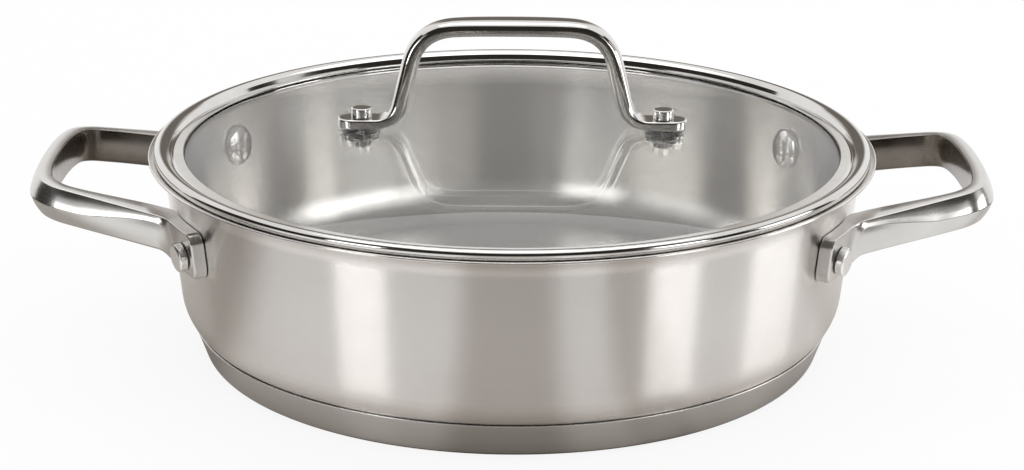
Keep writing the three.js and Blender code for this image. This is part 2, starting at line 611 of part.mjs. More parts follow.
// Finishes
const metal = (color, roughness) => new THREE.MeshStandardMaterial({ color, roughness, metalness: 1 });
const brushedSteel = () => metal(0xc9c6c2, 0.32);
const polishedSteel = () => metal(0xd6d4d1, 0.12);
const baseSteel = () => metal(0xb7b2ac, 0.38);
const aluminium = () => metal(0xd9dadb, 0.5);
const silicone = () => new THREE.MeshStandardMaterial({ color: 0x1b1b1b, roughness: 0.6, metalness: 0 });
const clearGlass = () => new THREE.MeshStandardMaterial({
  color: 0xeef5f2,
  roughness: 0.03,
  metalness: 0,
  transparent: true,
  opacity: 0.3,
});

// Assembly
const casserole = new THREE.Group();
const pot = new THREE.Group();
const lid = new THREE.Group();
casserole.add(pot, lid);

function place(name, shape, material, group) {
  const mesh = new THREE.Mesh(geometryOf(shape), material);
  mesh.name = name;
  group.add(mesh);
  return mesh;
}

place('pot_body', potBody(), brushedSteel(), pot);
place('base_core', baseCore(), aluminium(), pot);
place('base_cap', baseCap(), baseSteel(), pot);

const handleShape = sideHandle();
place('right_handle', handleShape, polishedSteel(), pot);
place('left_handle', handleShape, polishedSteel(), pot).rotation.z = Math.PI;

const rivetShape = rivet();
for (const [name, angle] of Object.entries(RIVETS)) {
  const seat = rivetPlace(angle);
  const mesh = place(name, rivetShape, polishedSteel(), pot);
  mesh.position.copy(seat.position);
  mesh.rotation.copy(seat.rotation);
}

place('lid_glass', lidGlass(), clearGlass(), lid);
place('lid_rim', lidRim(), polishedSteel(), lid);
place('lid_handle', lidHandle(), polishedSteel(), lid);

const fastening = {
  lid_nut: [lidNut(), polishedSteel],
  lid_screw: [lidScrew(), polishedSteel],
  upper_gasket: [upperGasket(), silicone],
  lower_gasket: [lowerGasket(), silicone],
  lower_washer: [lowerWasher(), polishedSteel],
};
for (const [side, turn] of [['right', 0], ['left', Math.PI]]) {
  const foot = new THREE.Group();
  foot.position.x = SCREW_X * Math.cos(turn);
  foot.rotation.z = turn;
  lid.add(foot);
  for (const [name, [shape, finish]] of Object.entries(fastening)) {
    place(`${side}_${name}`, shape, finish(), foot);
  }
}

export default casserole;
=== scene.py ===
import math

import bpy
from mathutils import Matrix, Vector


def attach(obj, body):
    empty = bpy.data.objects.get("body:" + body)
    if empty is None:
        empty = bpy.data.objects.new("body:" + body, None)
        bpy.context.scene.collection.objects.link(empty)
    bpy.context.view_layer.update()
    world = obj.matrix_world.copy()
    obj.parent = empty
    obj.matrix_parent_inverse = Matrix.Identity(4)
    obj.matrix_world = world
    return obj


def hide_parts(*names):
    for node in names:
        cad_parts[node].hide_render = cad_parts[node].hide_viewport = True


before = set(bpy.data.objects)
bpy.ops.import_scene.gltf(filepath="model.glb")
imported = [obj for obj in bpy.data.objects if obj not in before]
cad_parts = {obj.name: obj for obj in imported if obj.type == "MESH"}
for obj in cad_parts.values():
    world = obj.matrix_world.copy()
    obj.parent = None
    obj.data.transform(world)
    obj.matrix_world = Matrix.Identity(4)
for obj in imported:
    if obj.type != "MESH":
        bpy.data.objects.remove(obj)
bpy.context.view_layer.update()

# Sizes in millimetres, the same values that drive the solids
FIT_GAP = 0.3
SEAT_GAP = 0.1
MOUTH_RADIUS = 120.3
POT_HEIGHT = 71.8
WALL_THICKNESS = 0.9
WALL_TAPER = 0.1
CORNER_RADIUS = 17
FLARE_RADIUS = 7
FLARE_ANGLE = math.radians(80)
BASE_SHEET = 0.6
CORE_THICKNESS = 6
BASE_HEIGHT = 12.2
BASE_FOOT_RADIUS = 108.8
BASE_EDGE = 2.6
HANDLE_PROJECTION = 37.2
LOOP_HALF_WIDTH = 35.6
LOOP_BOW = 4
LOOP_CORNER_SETBACK = 9
LOOP_RISE = 0.165
BAR_HEIGHT = 12.4
BAR_TOP_WIDTH = 4.9
BAR_RIDGE = 3.0
BAR_RIDGE_DROP = 6.8
ARM_ROOT_WIDTH = 8.6
ARM_ROOT_RIDGE_DROP = 2.4
FLANGE_TOP = 59.6
FLANGE_HEIGHT = 16
FLANGE_THICKNESS = 4.5
FLANGE_TOE = 8
FLANGE_HEEL = 12.4
FLANGE_CLIP = 3
BEND_SETBACK = 5
RIVET_SPACING = 118
RIVET_HEIGHT = 50.8
RIVET_SHANK_RADIUS = 2.5
RIVET_HEAD_RADIUS = 4.8
RIVET_HEAD_HEIGHT = 2.8
RIVET_DOME_RADIUS = 7.2
RIVET_DOME_HEIGHT = 3
BEAD_RADIUS = 1.2
BEAD_RISE = 0.85
LIP_SHOWING = 2.2
GLASS_THICKNESS = 4
GLASS_RISE = 7.6
GLASS_DROP = 1.2
RIM_SHEET = 0.7
RIM_LIP_WIDTH = 4.2
RIM_GROOVE_DEPTH = 0.35
GROOVE_RUN = 0.8
GROOVE_RISE = 1.6
BEAD_SHOULDER = math.radians(60)
BEAD_CROWN = 2.2
SKIRT_CLEARANCE = 0.9
SKIRT_DEPTH = 7.6
LOWER_LIP_WIDTH = 3
SCREW_SPACING = 105.8
STRAP_WIDTH = 10.4
GRIP_WIDTH = 12.8
STRAP_THICKNESS = 6
STRAP_TOP = 39.8
STRAP_CROWN = 1.8
LEG_FOOT_HALF = 40.9
LEG_TOP_HALF = 32.8
LEG_FOOT_SETBACK = 7.1
LEG_TOP_SETBACK = 11.5
FOOT_OVERHANG = 3.2
FOOT_THICKNESS = 3.2
FOOT_ROUNDING = 0.8
SCREW_RADIUS = 2
SCREW_HEAD_RADIUS = 4.4
SCREW_HEAD_HEIGHT = 2.2
UPPER_GASKET_INSET = 0.3
UPPER_GASKET_BACK = 0.8
UPPER_GASKET_THICKNESS = 0.8
LOWER_GASKET_RADIUS = 6.6
LOWER_GASKET_THICKNESS = 1.4
WASHER_RADIUS = 6
WASHER_THICKNESS = 1

# Cap nuts, drawn a little larger than the solids
NUT_RADIUS = 3.6
NUT_HEIGHT = 3.4

# A millimetre in metres, and the fineness of the meshes
MM = 0.001
TURN_STEPS = 256
SMALL_TURN_STEPS = 64
ARC_STEPS = 14
FILLET_STEPS = 5
EDGE_STEPS = 8
ROUNDING_SHARE = 0.48

# Pot and lid, worked out
LEAN = math.atan(WALL_TAPER)
FLOOR_Z = BASE_SHEET + FIT_GAP + CORE_THICKNESS + FIT_GAP
FLARE_Z = POT_HEIGHT - (FLARE_RADIUS + WALL_THICKNESS) * math.sin(FLARE_ANGLE)
FLARE_START = FLARE_Z + FLARE_RADIUS * math.sin(LEAN)


def wall_radius(z):
    return MOUTH_RADIUS + WALL_THICKNESS - WALL_TAPER * (FLARE_START - z)


FLARE_X = wall_radius(FLARE_START) + FLARE_RADIUS * math.cos(LEAN)
LIP_RADIUS = FLARE_X - FLARE_RADIUS * math.cos(FLARE_ANGLE)
CORNER_Z = FLOOR_Z + CORNER_RADIUS
CORNER_X = wall_radius(CORNER_Z - CORNER_RADIUS * math.sin(LEAN)) - CORNER_RADIUS * math.cos(LEAN)
CAP_RIM = CORNER_X + math.sqrt(CORNER_RADIUS**2 - (CORNER_Z - BASE_HEIGHT) ** 2) + FIT_GAP + BASE_SHEET
CAP_SLOPE = (CAP_RIM - BASE_FOOT_RADIUS) / BASE_HEIGHT
BEAD_X = LIP_RADIUS - LIP_SHOWING - BEAD_RADIUS
BEAD_REACH = FLARE_RADIUS + WALL_THICKNESS + FIT_GAP + BEAD_RADIUS
BEAD_Z = FLARE_Z + math.sqrt(BEAD_REACH**2 - (FLARE_X - BEAD_X) ** 2)
SKIRT_RADIUS = MOUTH_RADIUS - SKIRT_CLEARANCE
GLASS_RADIUS = SKIRT_RADIUS - RIM_SHEET - FIT_GAP
GLASS_EDGE_Z = BEAD_Z - GLASS_DROP
DOME_RADIUS = (GLASS_RADIUS**2 + GLASS_RISE**2) / (2 * GLASS_RISE)
DOME_Z = GLASS_EDGE_Z + GLASS_RISE - DOME_RADIUS


def glass_top(radius):
    return DOME_Z + math.sqrt(DOME_RADIUS**2 - radius**2)


def glass_under(radius):
    return glass_top(radius) - GLASS_THICKNESS


SCREW_X = SCREW_SPACING / 2
FOOT_Z = glass_top(SCREW_X) + UPPER_GASKET_THICKNESS
NUT_Z = FOOT_Z + FOOT_THICKNESS + SEAT_GAP
WASHER_TOP = glass_under(SCREW_X) - LOWER_GASKET_THICKNESS - SEAT_GAP
SCREW_HEAD_TOP = WASHER_TOP - WASHER_THICKNESS - SEAT_GAP
RIVET_RADIUS_AT = wall_radius(RIVET_HEIGHT)
RIVET_ANGLE = math.asin(RIVET_SPACING / 2 / RIVET_RADIUS_AT)
FLANGE_MIDDLE = FLANGE_TOP - FLANGE_HEIGHT / 2
FACE_RADIUS = wall_radius(FLANGE_MIDDLE) + FIT_GAP + FLANGE_THICKNESS


# Lines and curves in a plane

def arc(x, y, radius, start, end, steps=ARC_STEPS):
    turns = [start + (end - start) * i / steps for i in range(steps + 1)]
    return [(x + radius * math.cos(t), y + radius * math.sin(t)) for t in turns]


def quadratic(start, control, end, t):
    a, b, c = Vector(start), Vector(control), Vector(end)
    return a * (1 - t) ** 2 + b * (2 * t * (1 - t)) + c * t**2


def quadratic_slope(start, control, end, t):
    a, b, c = Vector(start), Vector(control), Vector(end)
    return ((b - a) * (1 - t) + (c - b) * t).normalized()


def step_towards(start, end, length):
    return Vector(start) + (Vector(end) - Vector(start)).normalized() * length


def smooth(t):
    return t * t * (3 - 2 * t)


def rounded(corners, closed=False, steps=FILLET_STEPS):
    """A line through corners of (x, y, radius), each rounded by a short curve."""
    points = []
    count = len(corners)
    for i, (x, y, radius) in enumerate(corners):
        inner = closed or 0 < i < count - 1
        if not inner or radius == 0:
            points.append((x, y))
            continue
        here = Vector((x, y))
        before = Vector(corners[i - 1][:2])
        after = Vector(corners[(i + 1) % count][:2])
        half = (before - here).angle(after - here) / 2
        room = ROUNDING_SHARE * min((before - here).length, (after - here).length)
        setback = min(radius / math.tan(half), room)
        start = step_towards(here, before, setback)
        end = step_towards(here, after, setback)
        for k in range(steps + 1):
            points.append(tuple(quadratic(start, here, end, k / steps)))
    return points


# Meshes

def mesh_piece(name, points, faces, sharp=40):
    mesh = bpy.data.meshes.new(name)
    mesh.from_pydata([Vector(p) * MM for p in points], [], faces)
    mesh.validate()
    mesh.shade_smooth()
    mesh.set_sharp_from_angle(angle=math.radians(sharp))
    piece = bpy.data.objects.new(name, mesh)
    bpy.context.scene.collection.objects.link(piece)
    normals = piece.modifiers.new("even_normals", "WEIGHTED_NORMAL")
    normals.keep_sharp = True
    return piece


def lathe(name, profile, closed=False, steps=TURN_STEPS, place=None, sharp=40):
    """Turns a profile of (radius, height), drawn anticlockwise, about Z."""
    points = []
    rows = []
    for radius, z in profile:
        turns = 1 if radius < 1e-6 else steps
        rows.append([len(points) + i for i in range(turns)])
        for i in range(turns):
            angle = 2 * math.pi * i / steps
            points.append(Vector((radius * math.cos(angle), radius * math.sin(angle), z)))
    faces = []
    pairs = list(zip(rows, rows[1:]))
    if closed:
        pairs.append((rows[-1], rows[0]))
    for low, high in pairs:
        for i in range(steps):
            j = (i + 1) % steps
            loop = [low[i % len(low)], low[j % len(low)], high[j % len(high)], high[i % len(high)]]
            corners = list(dict.fromkeys(loop))
            if len(corners) > 2:
                faces.append(corners)
    if place is not None:
        points = [place @ p for p in points]
    return mesh_piece(name, points, faces, sharp)


def loft(name, rings, sharp=40, ring_shaped=False):
    """A skin through rings of points that all have the same count, capped or joined end to end."""
    count = len(rings[0])
    points = [p for ring in rings for p in ring]
    faces = []
    for r in range(len(rings) - 1):
        for i in range(count):
            j = (i + 1) % count
            a, b = r * count + i, r * count + j
            faces.append([a, b, b + count, a + count])
    last = (len(rings) - 1) * count
    if ring_shaped:
        faces += [[last + i, last + (i + 1) % count, (i + 1) % count, i] for i in range(count)]
    else:
        faces.append(list(range(count - 1, -1, -1)))
        faces.append([last + i for i in range(count)])
    return mesh_piece(name, points, faces, sharp)


def wear(piece, body, node, material):
    """Puts a piece on its body, in place of a solid, with its finish."""
    piece.data.materials.append(material)
    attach(piece, body)
    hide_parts(node)
    return piece


# Materials

class Nodes:
    """Small helper that adds shader nodes and links them."""

    def __init__(self, name):
        self.material = bpy.data.materials.new(name)
        self.material.use_nodes = True
        self.tree = self.material.node_tree
        self.tree.nodes.clear()
        self.output = self.tree.nodes.new("ShaderNodeOutputMaterial")

    def add(self, kind, inputs=None, **settings):
        node = self.tree.nodes.new("ShaderNode" + kind)
        for key, value in settings.items():
            setattr(node, key, value)
        for key, value in (inputs or {}).items():
            if isinstance(value, bpy.types.NodeSocket):
                self.tree.links.new(value, node.inputs[key])
            else:
                node.inputs[key].default_value = value
        return node

    def math(self, operation, a, b=0.0, c=0.0):
        return self.add("Math", {0: a, 1: b, 2: c}, operation=operation).outputs[0]

    def noise(self, vector, scale, detail=2.0, roughness=0.5):
        inputs = {"Vector": vector, "Scale": scale, "Detail": detail, "Roughness": roughness}
        return self.add("TexNoise", inputs).outputs["Fac"]

    def spread(self, value, low, high, start=0.3, end=0.7):
        inputs = {"Value": value, "From Min": start, "From Max": end, "To Min": low, "To Max": high}
        return self.add("MapRange", inputs).outputs["Result"]

    def mix(self, factor, a, b):
        node = self.add("Mix", data_type="RGBA")
        for socket, value in ((node.inputs[0], factor), (node.inputs[6], a), (node.inputs[7], b)):
            if isinstance(value, bpy.types.NodeSocket):
                self.tree.links.new(value, socket)
            else:
                socket.default_value = value
        return node.outputs[2]

    def bump(self, height, strength, distance):
        inputs = {"Height": height, "Strength": strength, "Distance": distance}
        return self.add("Bump", inputs).outputs["Normal"]

    def principled(self, **inputs):
        names = {key.replace("_", " "): value for key, value in inputs.items()}
        shader = self.add("BsdfPrincipled", names)
        self.tree.links.new(shader.outputs[0], self.output.inputs["Surface"])
        return shader


def round_brushing(nodes, along, across):
    """Coordinates for fine lines that run round the Z axis."""
    place = nodes.add("TexCoord").outputs["Object"]
    parts = nodes.add("SeparateXYZ", {0: place})
    flat = nodes.add("CombineXYZ", {0: parts.outputs[0], 1: parts.outputs[1]}).outputs[0]
    radius = nodes.add("VectorMath", {0: flat}, operation="LENGTH").outputs["Value"]
    level = nodes.math("ADD", parts.outputs[2], radius)
    x = nodes.math("MULTIPLY", parts.outputs[0], along)
    y = nodes.math("MULTIPLY", parts.outputs[1], along)
    z = nodes.math("MULTIPLY", level, across)
    return place, nodes.add("CombineXYZ", {0: x, 1: y, 2: z}).outputs[0]


# Brushing: how long its lines are, how fine its grain is, and what shares the lines have in tilt and tone
LINE_STRETCH = 6.0
GRAIN_SCALE = 50000.0
LINE_SHARE = 0.12
BROAD_TONE, FINE_TONE = 0.6, 0.4
QUARTER_TURN = 0.25


def brushed_steel(name, dark, light, rough, spread, anisotropy, lines, grooves):
    """Steel brushed round the Z axis. The fine grooves tip the surface up and down."""
    nodes = Nodes(name)
    place, along = round_brushing(nodes, LINE_STRETCH, lines)
    fine = nodes.noise(along, 1.0, 3.0, 0.6)
    broad = nodes.noise(along, 0.1, 2.0)
    cloud = nodes.noise(place, 22.0, 3.0)
    tangent = nodes.add("Tangent", direction_type="RADIAL", axis="Z").outputs[0]
    normal = nodes.add("NewGeometry").outputs["Normal"]
    upward = nodes.add("VectorMath", {0: normal, 1: tangent}, operation="CROSS_PRODUCT").outputs[0]
    grain = nodes.add("VectorMath", {0: place, "Scale": GRAIN_SCALE}, operation="SCALE").outputs[0]
    chance = nodes.add("TexWhiteNoise", {"Vector": grain}, noise_dimensions="3D").outputs["Color"]
    draws = nodes.add("SeparateXYZ", {0: chance})
    spread_out = nodes.math("SUBTRACT", nodes.math("ADD", draws.outputs[0], draws.outputs[1]), 1.0)
    scatter = nodes.math("MULTIPLY", spread_out, grooves)
    tilt = nodes.math("ADD", scatter, nodes.spread(fine, -grooves * LINE_SHARE, grooves * LINE_SHARE))
    lean = nodes.add("VectorMath", {0: upward, "Scale": tilt}, operation="SCALE").outputs[0]
    leaning = nodes.add("VectorMath", {0: normal, 1: lean}, operation="ADD").outputs[0]
    grooved = nodes.add("VectorMath", {0: leaning}, operation="NORMALIZE").outputs[0]
    tone = nodes.math("MULTIPLY_ADD", broad, BROAD_TONE, nodes.math("MULTIPLY", fine, FINE_TONE))
    nodes.principled(
        Base_Color=nodes.mix(nodes.spread(tone, 0.0, 1.0), dark, light),
        Metallic=1.0,
        Roughness=nodes.math("ADD", nodes.spread(cloud, -spread, spread), rough),
        Anisotropic=anisotropy,
        Anisotropic_Rotation=QUARTER_TURN,
        Tangent=tangent,
        Normal=grooved,
    )
    return nodes.material


def polished_steel(name, dark, light, rough):
    """Smooth steel with a faint cloud in its tone and a slight ripple."""
    nodes = Nodes(name)
    place = nodes.add("TexCoord").outputs["Object"]
    cloud = nodes.noise(place, 45.0, 4.0, 0.6)
    ripple = nodes.noise(place, 160.0, 2.0)
    nodes.principled(
        Base_Color=nodes.mix(nodes.spread(cloud, 0.0, 1.0), dark, light),
        Metallic=1.0,
        Roughness=nodes.spread(cloud, rough * 0.75, rough * 1.25),
        Normal=nodes.bump(ripple, 0.08, 0.0001),
    )
    return nodes.material


def clear_glass():
    """Tempered glass that waves a little."""
    nodes = Nodes("tempered_glass")
    place = nodes.add("TexCoord").outputs["Object"]
    wave = nodes.noise(place, 14.0, 1.0)
    nodes.principled(
        Base_Color=(0.985, 0.992, 0.986, 1.0),
        Roughness=nodes.spread(nodes.noise(place, 60.0, 3.0), 0.0, 0.012),
        IOR=1.5,
        Transmission_Weight=1.0,
        Normal=nodes.bump(wave, 0.02, 0.0004),
    )
    return nodes.material


def black_silicone():
    nodes = Nodes("black_silicone")
    place = nodes.add("TexCoord").outputs["Object"]
    speck = nodes.noise(place, 900.0, 2.0)
    nodes.principled(
        Base_Color=nodes.mix(speck, (0.008, 0.008, 0.008, 1), (0.02, 0.02, 0.021, 1)),
        Roughness=nodes.spread(speck, 0.5, 0.62),
        Normal=nodes.bump(speck, 0.15, 0.00005),
    )
    return nodes.material


def clear_silicone():
    nodes = Nodes("clear_silicone")
    place = nodes.add("TexCoord").outputs["Object"]
    speck = nodes.noise(place, 700.0, 2.0)
    nodes.principled(
        Base_Color=nodes.mix(speck, (0.86, 0.86, 0.85, 1), (0.93, 0.93, 0.92, 1)),
        Roughness=nodes.spread(speck, 0.2, 0.3),
        IOR=1.41,
        Transmission_Weight=0.9,
        Normal=nodes.bump(speck, 0.1, 0.00005),
    )
    return nodes.material


WALL_STEEL = brushed_steel(
    "brushed_wall_steel", (0.80, 0.765, 0.735, 1), (0.86, 0.83, 0.80, 1),
    rough=0.26, spread=0.012, anisotropy=1.0, lines=16000.0, grooves=0.42)
INSIDE_STEEL = brushed_steel(
    "satin_inside_steel", (0.76, 0.74, 0.715, 1), (0.83, 0.81, 0.785, 1),
    rough=0.13, spread=0.02, anisotropy=0.8, lines=7000.0, grooves=0.28)
BASE_STEEL = brushed_steel(
    "turned_base_steel", (0.54, 0.52, 0.50, 1), (0.61, 0.59, 0.57, 1),
    rough=0.30, spread=0.02, anisotropy=0.9, lines=9000.0, grooves=0.42)
CORE_METAL = brushed_steel(
    "core_aluminium", (0.60, 0.61, 0.62, 1), (0.72, 0.73, 0.74, 1),
    rough=0.42, spread=0.05, anisotropy=0.3, lines=2000.0, grooves=0.1)
POLISHED = polished_steel("polished_steel", (0.66, 0.645, 0.625, 1), (0.74, 0.725, 0.705, 1), 0.09)
CAST = polished_steel("cast_handle_steel", (0.63, 0.615, 0.595, 1), (0.72, 0.705, 0.685, 1), 0.24)
# Dark steel that paints shade: on the handles' inner faces and as a shadow line along the base cap's foot
PAINTED_SHADE_STEEL = polished_steel("painted_shade_steel", (0.17, 0.15, 0.13, 1), (0.26, 0.235, 0.21, 1), 0.24)
# Pale satin steel of the rivet buttons, also put on the base cap's top edge as a painted highlight
RIVET_AND_HIGHLIGHT_STEEL = polished_steel("rivet_and_highlight_steel", (0.86, 0.85, 0.83, 1), (0.92, 0.91, 0.89, 1), 0.28)
GLASS = clear_glass()
BLACK_SILICONE = black_silicone()
CLEAR_SILICONE = clear_silicone()


# Pot shell: floor, rounded corner, tapered wall and flared lip with a rounded edge
FLOOR_RINGS = 24
WALL_RINGS = 12
FLOOR_FACING = 0.9


def pot_shell():
    up = math.pi - LEAN
    edge = WALL_THICKNESS / 2
    middle = FLARE_RADIUS + edge
    out = math.pi - FLARE_ANGLE + edge / middle
    tip = Vector((FLARE_X + middle * math.cos(out), FLARE_Z + middle * math.sin(out)))
    rings = [CORNER_X * i / FLOOR_RINGS for i in range(FLOOR_RINGS)]
    wall = [i / WALL_RINGS for i in range(1, WALL_RINGS)]
    profile = [(r, FLOOR_Z) for r in rings]
    profile += arc(CORNER_X, CORNER_Z, CORNER_RADIUS, -math.pi / 2, -LEAN)
    foot, head = profile[-1], arc(FLARE_X, FLARE_Z, FLARE_RADIUS, up, up, 1)[0]
    profile += [tuple(Vector(foot).lerp(Vector(head), t)) for t in wall]
    profile += arc(FLARE_X, FLARE_Z, FLARE_RADIUS, up, out)
    profile += arc(tip.x, tip.y, edge, out - math.pi, out, EDGE_STEPS)[1:-1]
    profile += arc(FLARE_X, FLARE_Z, FLARE_RADIUS + WALL_THICKNESS, out, up)
    inner = arc(CORNER_X, CORNER_Z, CORNER_RADIUS - WALL_THICKNESS, -LEAN, -math.pi / 2)
    head, foot = profile[-1], inner[0]
    profile += [tuple(Vector(head).lerp(Vector(foot), t)) for t in wall]
    profile += inner
    profile += [(r, FLOOR_Z + WALL_THICKNESS) for r in reversed(rings)]
    piece = lathe("pot_shell", profile)
    for face in piece.data.polygons:
        below_lip = face.center.z < FLARE_START * MM
        on_floor = face.normal.z > FLOOR_FACING
        inward = face.normal.x * face.center.x + face.normal.y * face.center.y < 0
        if below_lip and (on_floor or inward):
            face.material_index = 1
    return piece


# Base cap, with turned rings underneath, a top edge that shows as a line round the pot and is lightened as a
# painted highlight, and a foot darkened as a painted shadow
BASE_RING_STEP = 8
BASE_RING_DEPTH = 0.2
BASE_RING_SLOPE = 0.3
BASE_RING_WIDTH = 1.3
FOOT_STEPS = 10
SIDE_LEVELS = [BASE_EDGE + rise for rise in (2, 4, 6)]
SIDE_TOP = BASE_EDGE + 7
RIM_ROUNDING = 0.5
RIM_INNER_ROUNDING = 0.1
TOP_GLINT = 0.9
FOOT_SHADE = 1.3


def cap_side(z):
    return BASE_FOOT_RADIUS + CAP_SLOPE * z


def base_plate():
    corner = cap_side(0)
    profile = [(0, 0)]
    ring = BASE_RING_STEP
    while ring < corner - 2 * BASE_RING_STEP:
        far = ring + BASE_RING_WIDTH
        profile += [(ring, 0), (ring + BASE_RING_SLOPE, BASE_RING_DEPTH)]
        profile += [(far - BASE_RING_SLOPE, BASE_RING_DEPTH), (far, 0)]
        ring += BASE_RING_STEP
    profile.append((corner - BASE_EDGE, 0))
    bend = [(corner - BASE_EDGE, 0), (corner, 0), (cap_side(BASE_EDGE), BASE_EDGE)]
    profile += [tuple(quadratic(*bend, i / FOOT_STEPS)) for i in range(1, FOOT_STEPS + 1)]
    profile += [(cap_side(z), z) for z in SIDE_LEVELS]
    inside = cap_side(BASE_SHEET) - BASE_SHEET
    profile += rounded([
        (cap_side(SIDE_TOP), SIDE_TOP, 0),
        (CAP_RIM, BASE_HEIGHT, RIM_ROUNDING),
        (CAP_RIM - BASE_SHEET, BASE_HEIGHT, RIM_INNER_ROUNDING),
        (inside, BASE_SHEET, BASE_EDGE),
        (0, BASE_SHEET, 0),
    ])
    piece = lathe("base_plate", profile, sharp=60)
    for face in piece.data.polygons:
        if face.center.to_2d().length < (corner - BASE_EDGE) * MM:
            continue
        # The top edge takes the pale steel as a painted highlight, and the foot the dark steel as a painted
        # shadow
        if face.center.z > (BASE_HEIGHT - TOP_GLINT) * MM:
            face.material_index = 1
        elif face.center.z < FOOT_SHADE * MM:
            face.material_index = 2
    return piece


# Side handle, lying towards +X
def bar_section(height, width, ridge, ridge_drop, lean, swell):
    return {
        "height": height, "width": width, "ridge": ridge,
        "ridge_drop": ridge_drop, "lean": lean, "swell": swell, "clip": 0,
    }


CUT_ALLOWANCE = FIT_GAP + WALL_TAPER * FLANGE_HEIGHT
FLANGE_SECTION = bar_section(
    FLANGE_HEIGHT, FLANGE_THICKNESS + CUT_ALLOWANCE, 0, FLANGE_HEIGHT / 2, 1, 0)
TOP_EDGE = 0.6
RIDGE_EDGE = 1.6
LOW_EDGE = 1.6
END_BEVEL = 0.6
SIDE_STEPS = 6
BAR_SWELL = 0.045
INNER_FACING = 0.3
FLANGE_RINGS = 30
BEND_RINGS = 18
ARM_RINGS = 24
CORNER_RINGS = 20
BOW_RINGS = 16
CORNER_POINTS = FILLET_STEPS + 1
ARM_ROOT_SECTION = bar_section(
    BAR_HEIGHT, ARM_ROOT_WIDTH, BAR_RIDGE / 4, ARM_ROOT_RIDGE_DROP, 0, BAR_SWELL)
BAR_SECTION = bar_section(BAR_HEIGHT, BAR_TOP_WIDTH, BAR_RIDGE, BAR_RIDGE_DROP, 0, BAR_SWELL)


def blend(start, end, t):
    return {key: start[key] + (end[key] - start[key]) * t for key in start}


def seat(point):
    """Keeps a point of the handle outside the pot wall."""
    x, y, z = point
    radius = math.hypot(x, y)
    least = wall_radius(z) + FIT_GAP
    if radius >= least:
        return Vector(point)
    return Vector((x * least / radius, y * least / radius, z))


def swollen(points, swell):
    """Divides the straight sides of a rounded outline, drawn clockwise, and swells them outward."""
    shape = []
    for i, point in enumerate(points):
        shape.append(point)
        if (i + 1) % CORNER_POINTS:
            continue
        start = Vector(point)
        side = Vector(points[(i + 1) % len(points)]) - start
        out = Vector((-side.y, side.x)) * (4 * swell)
        for k in range(1, SIDE_STEPS):
            t = k / SIDE_STEPS
            shape.append(tuple(start + side * t + out * (t * (1 - t))))
    return shape


def bar_ring(edge, outward, section, inset=0):
    reach = max(0, edge.x - FACE_RADIUS * math.cos(RIVET_ANGLE - FLANGE_HEEL / FACE_RADIUS))
    rise = FLANGE_TOP + LOOP_RISE * reach
    top = rise - section["clip"] - inset
    low = rise - section["height"] + section["clip"] + inset
    ridge = top - min(section["ridge_drop"], (top - low) / 2)
    shape = rounded([
        (-inset, top, TOP_EDGE),
        (section["ridge"] - inset, ridge, RIDGE_EDGE),
        (-inset, low, LOW_EDGE),
        (inset - section["width"], low, LOW_EDGE),
        (inset - section["width"], top, TOP_EDGE),
    ], closed=True)
    ring = []
    for offset, z in swollen(shape, section["swell"]):
        n = offset + section["lean"] * WALL_TAPER * (z - FLANGE_MIDDLE)
        ring.append(seat((edge.x + outward.x * n, edge.y + outward.y * n, z)))
    return ring


def handle_rings():
    def polar(length):
        angle = length / FACE_RADIUS - RIVET_ANGLE
        return Vector((math.cos(angle), math.sin(angle))) * FACE_RADIUS

    def across(slope):
        return Vector((slope.y, -slope.x))

    bend = polar(FLANGE_HEEL)
    middle = Vector((LIP_RADIUS + HANDLE_PROJECTION, 0))
    corner = Vector((middle.x - LOOP_BOW, -LOOP_HALF_WIDTH))
    bow = Vector((middle.x, -LOOP_HALF_WIDTH / 2))
    arm_start = step_towards(bend, corner, BEND_SETBACK)
    arm_end = step_towards(corner, bend, LOOP_CORNER_SETBACK)
    bow_start = step_towards(corner, bow, LOOP_CORNER_SETBACK)
    root = FLANGE_HEEL - BEND_SETBACK
    rings = []
    # Free end of the flange, with clipped corners and a small bevel
    for length, inset in ((0, END_BEVEL), (END_BEVEL / 2, END_BEVEL / 4), (END_BEVEL, 0)):
        share = 1 - length / FLANGE_CLIP
        section = dict(FLANGE_SECTION, clip=FLANGE_CLIP * share**2)
        at = polar(length - FLANGE_TOE)
        rings.append(bar_ring(at, at.normalized(), section, inset))
    for i in range(1, FLANGE_RINGS + 1):
        length = END_BEVEL + (FLANGE_TOE + root - END_BEVEL) * i / FLANGE_RINGS
        share = max(0, 1 - length / FLANGE_CLIP)
        at = polar(length - FLANGE_TOE)
        rings.append(bar_ring(at, at.normalized(), dict(FLANGE_SECTION, clip=FLANGE_CLIP * share**2)))
    spans = (
        ((polar(root), bend, arm_start), BEND_RINGS, FLANGE_SECTION, ARM_ROOT_SECTION),
        ((arm_start, arm_start.lerp(arm_end, 0.5), arm_end), ARM_RINGS, ARM_ROOT_SECTION, BAR_SECTION),
        ((arm_end, corner, bow_start), CORNER_RINGS, BAR_SECTION, BAR_SECTION),
        ((bow_start, bow, middle), BOW_RINGS, BAR_SECTION, BAR_SECTION),
    )
    for curve, steps, start, end in spans:
        for i in range(1, steps + 1):
            t = i / steps
            section = blend(start, end, smooth(t))
            rings.append(bar_ring(quadratic(*curve, t), across(quadratic_slope(*curve, t)), section))
    mirrored = [[Vector((p.x, -p.y, p.z)) for p in ring] for ring in reversed(rings[:-1])]
    return rings + mirrored


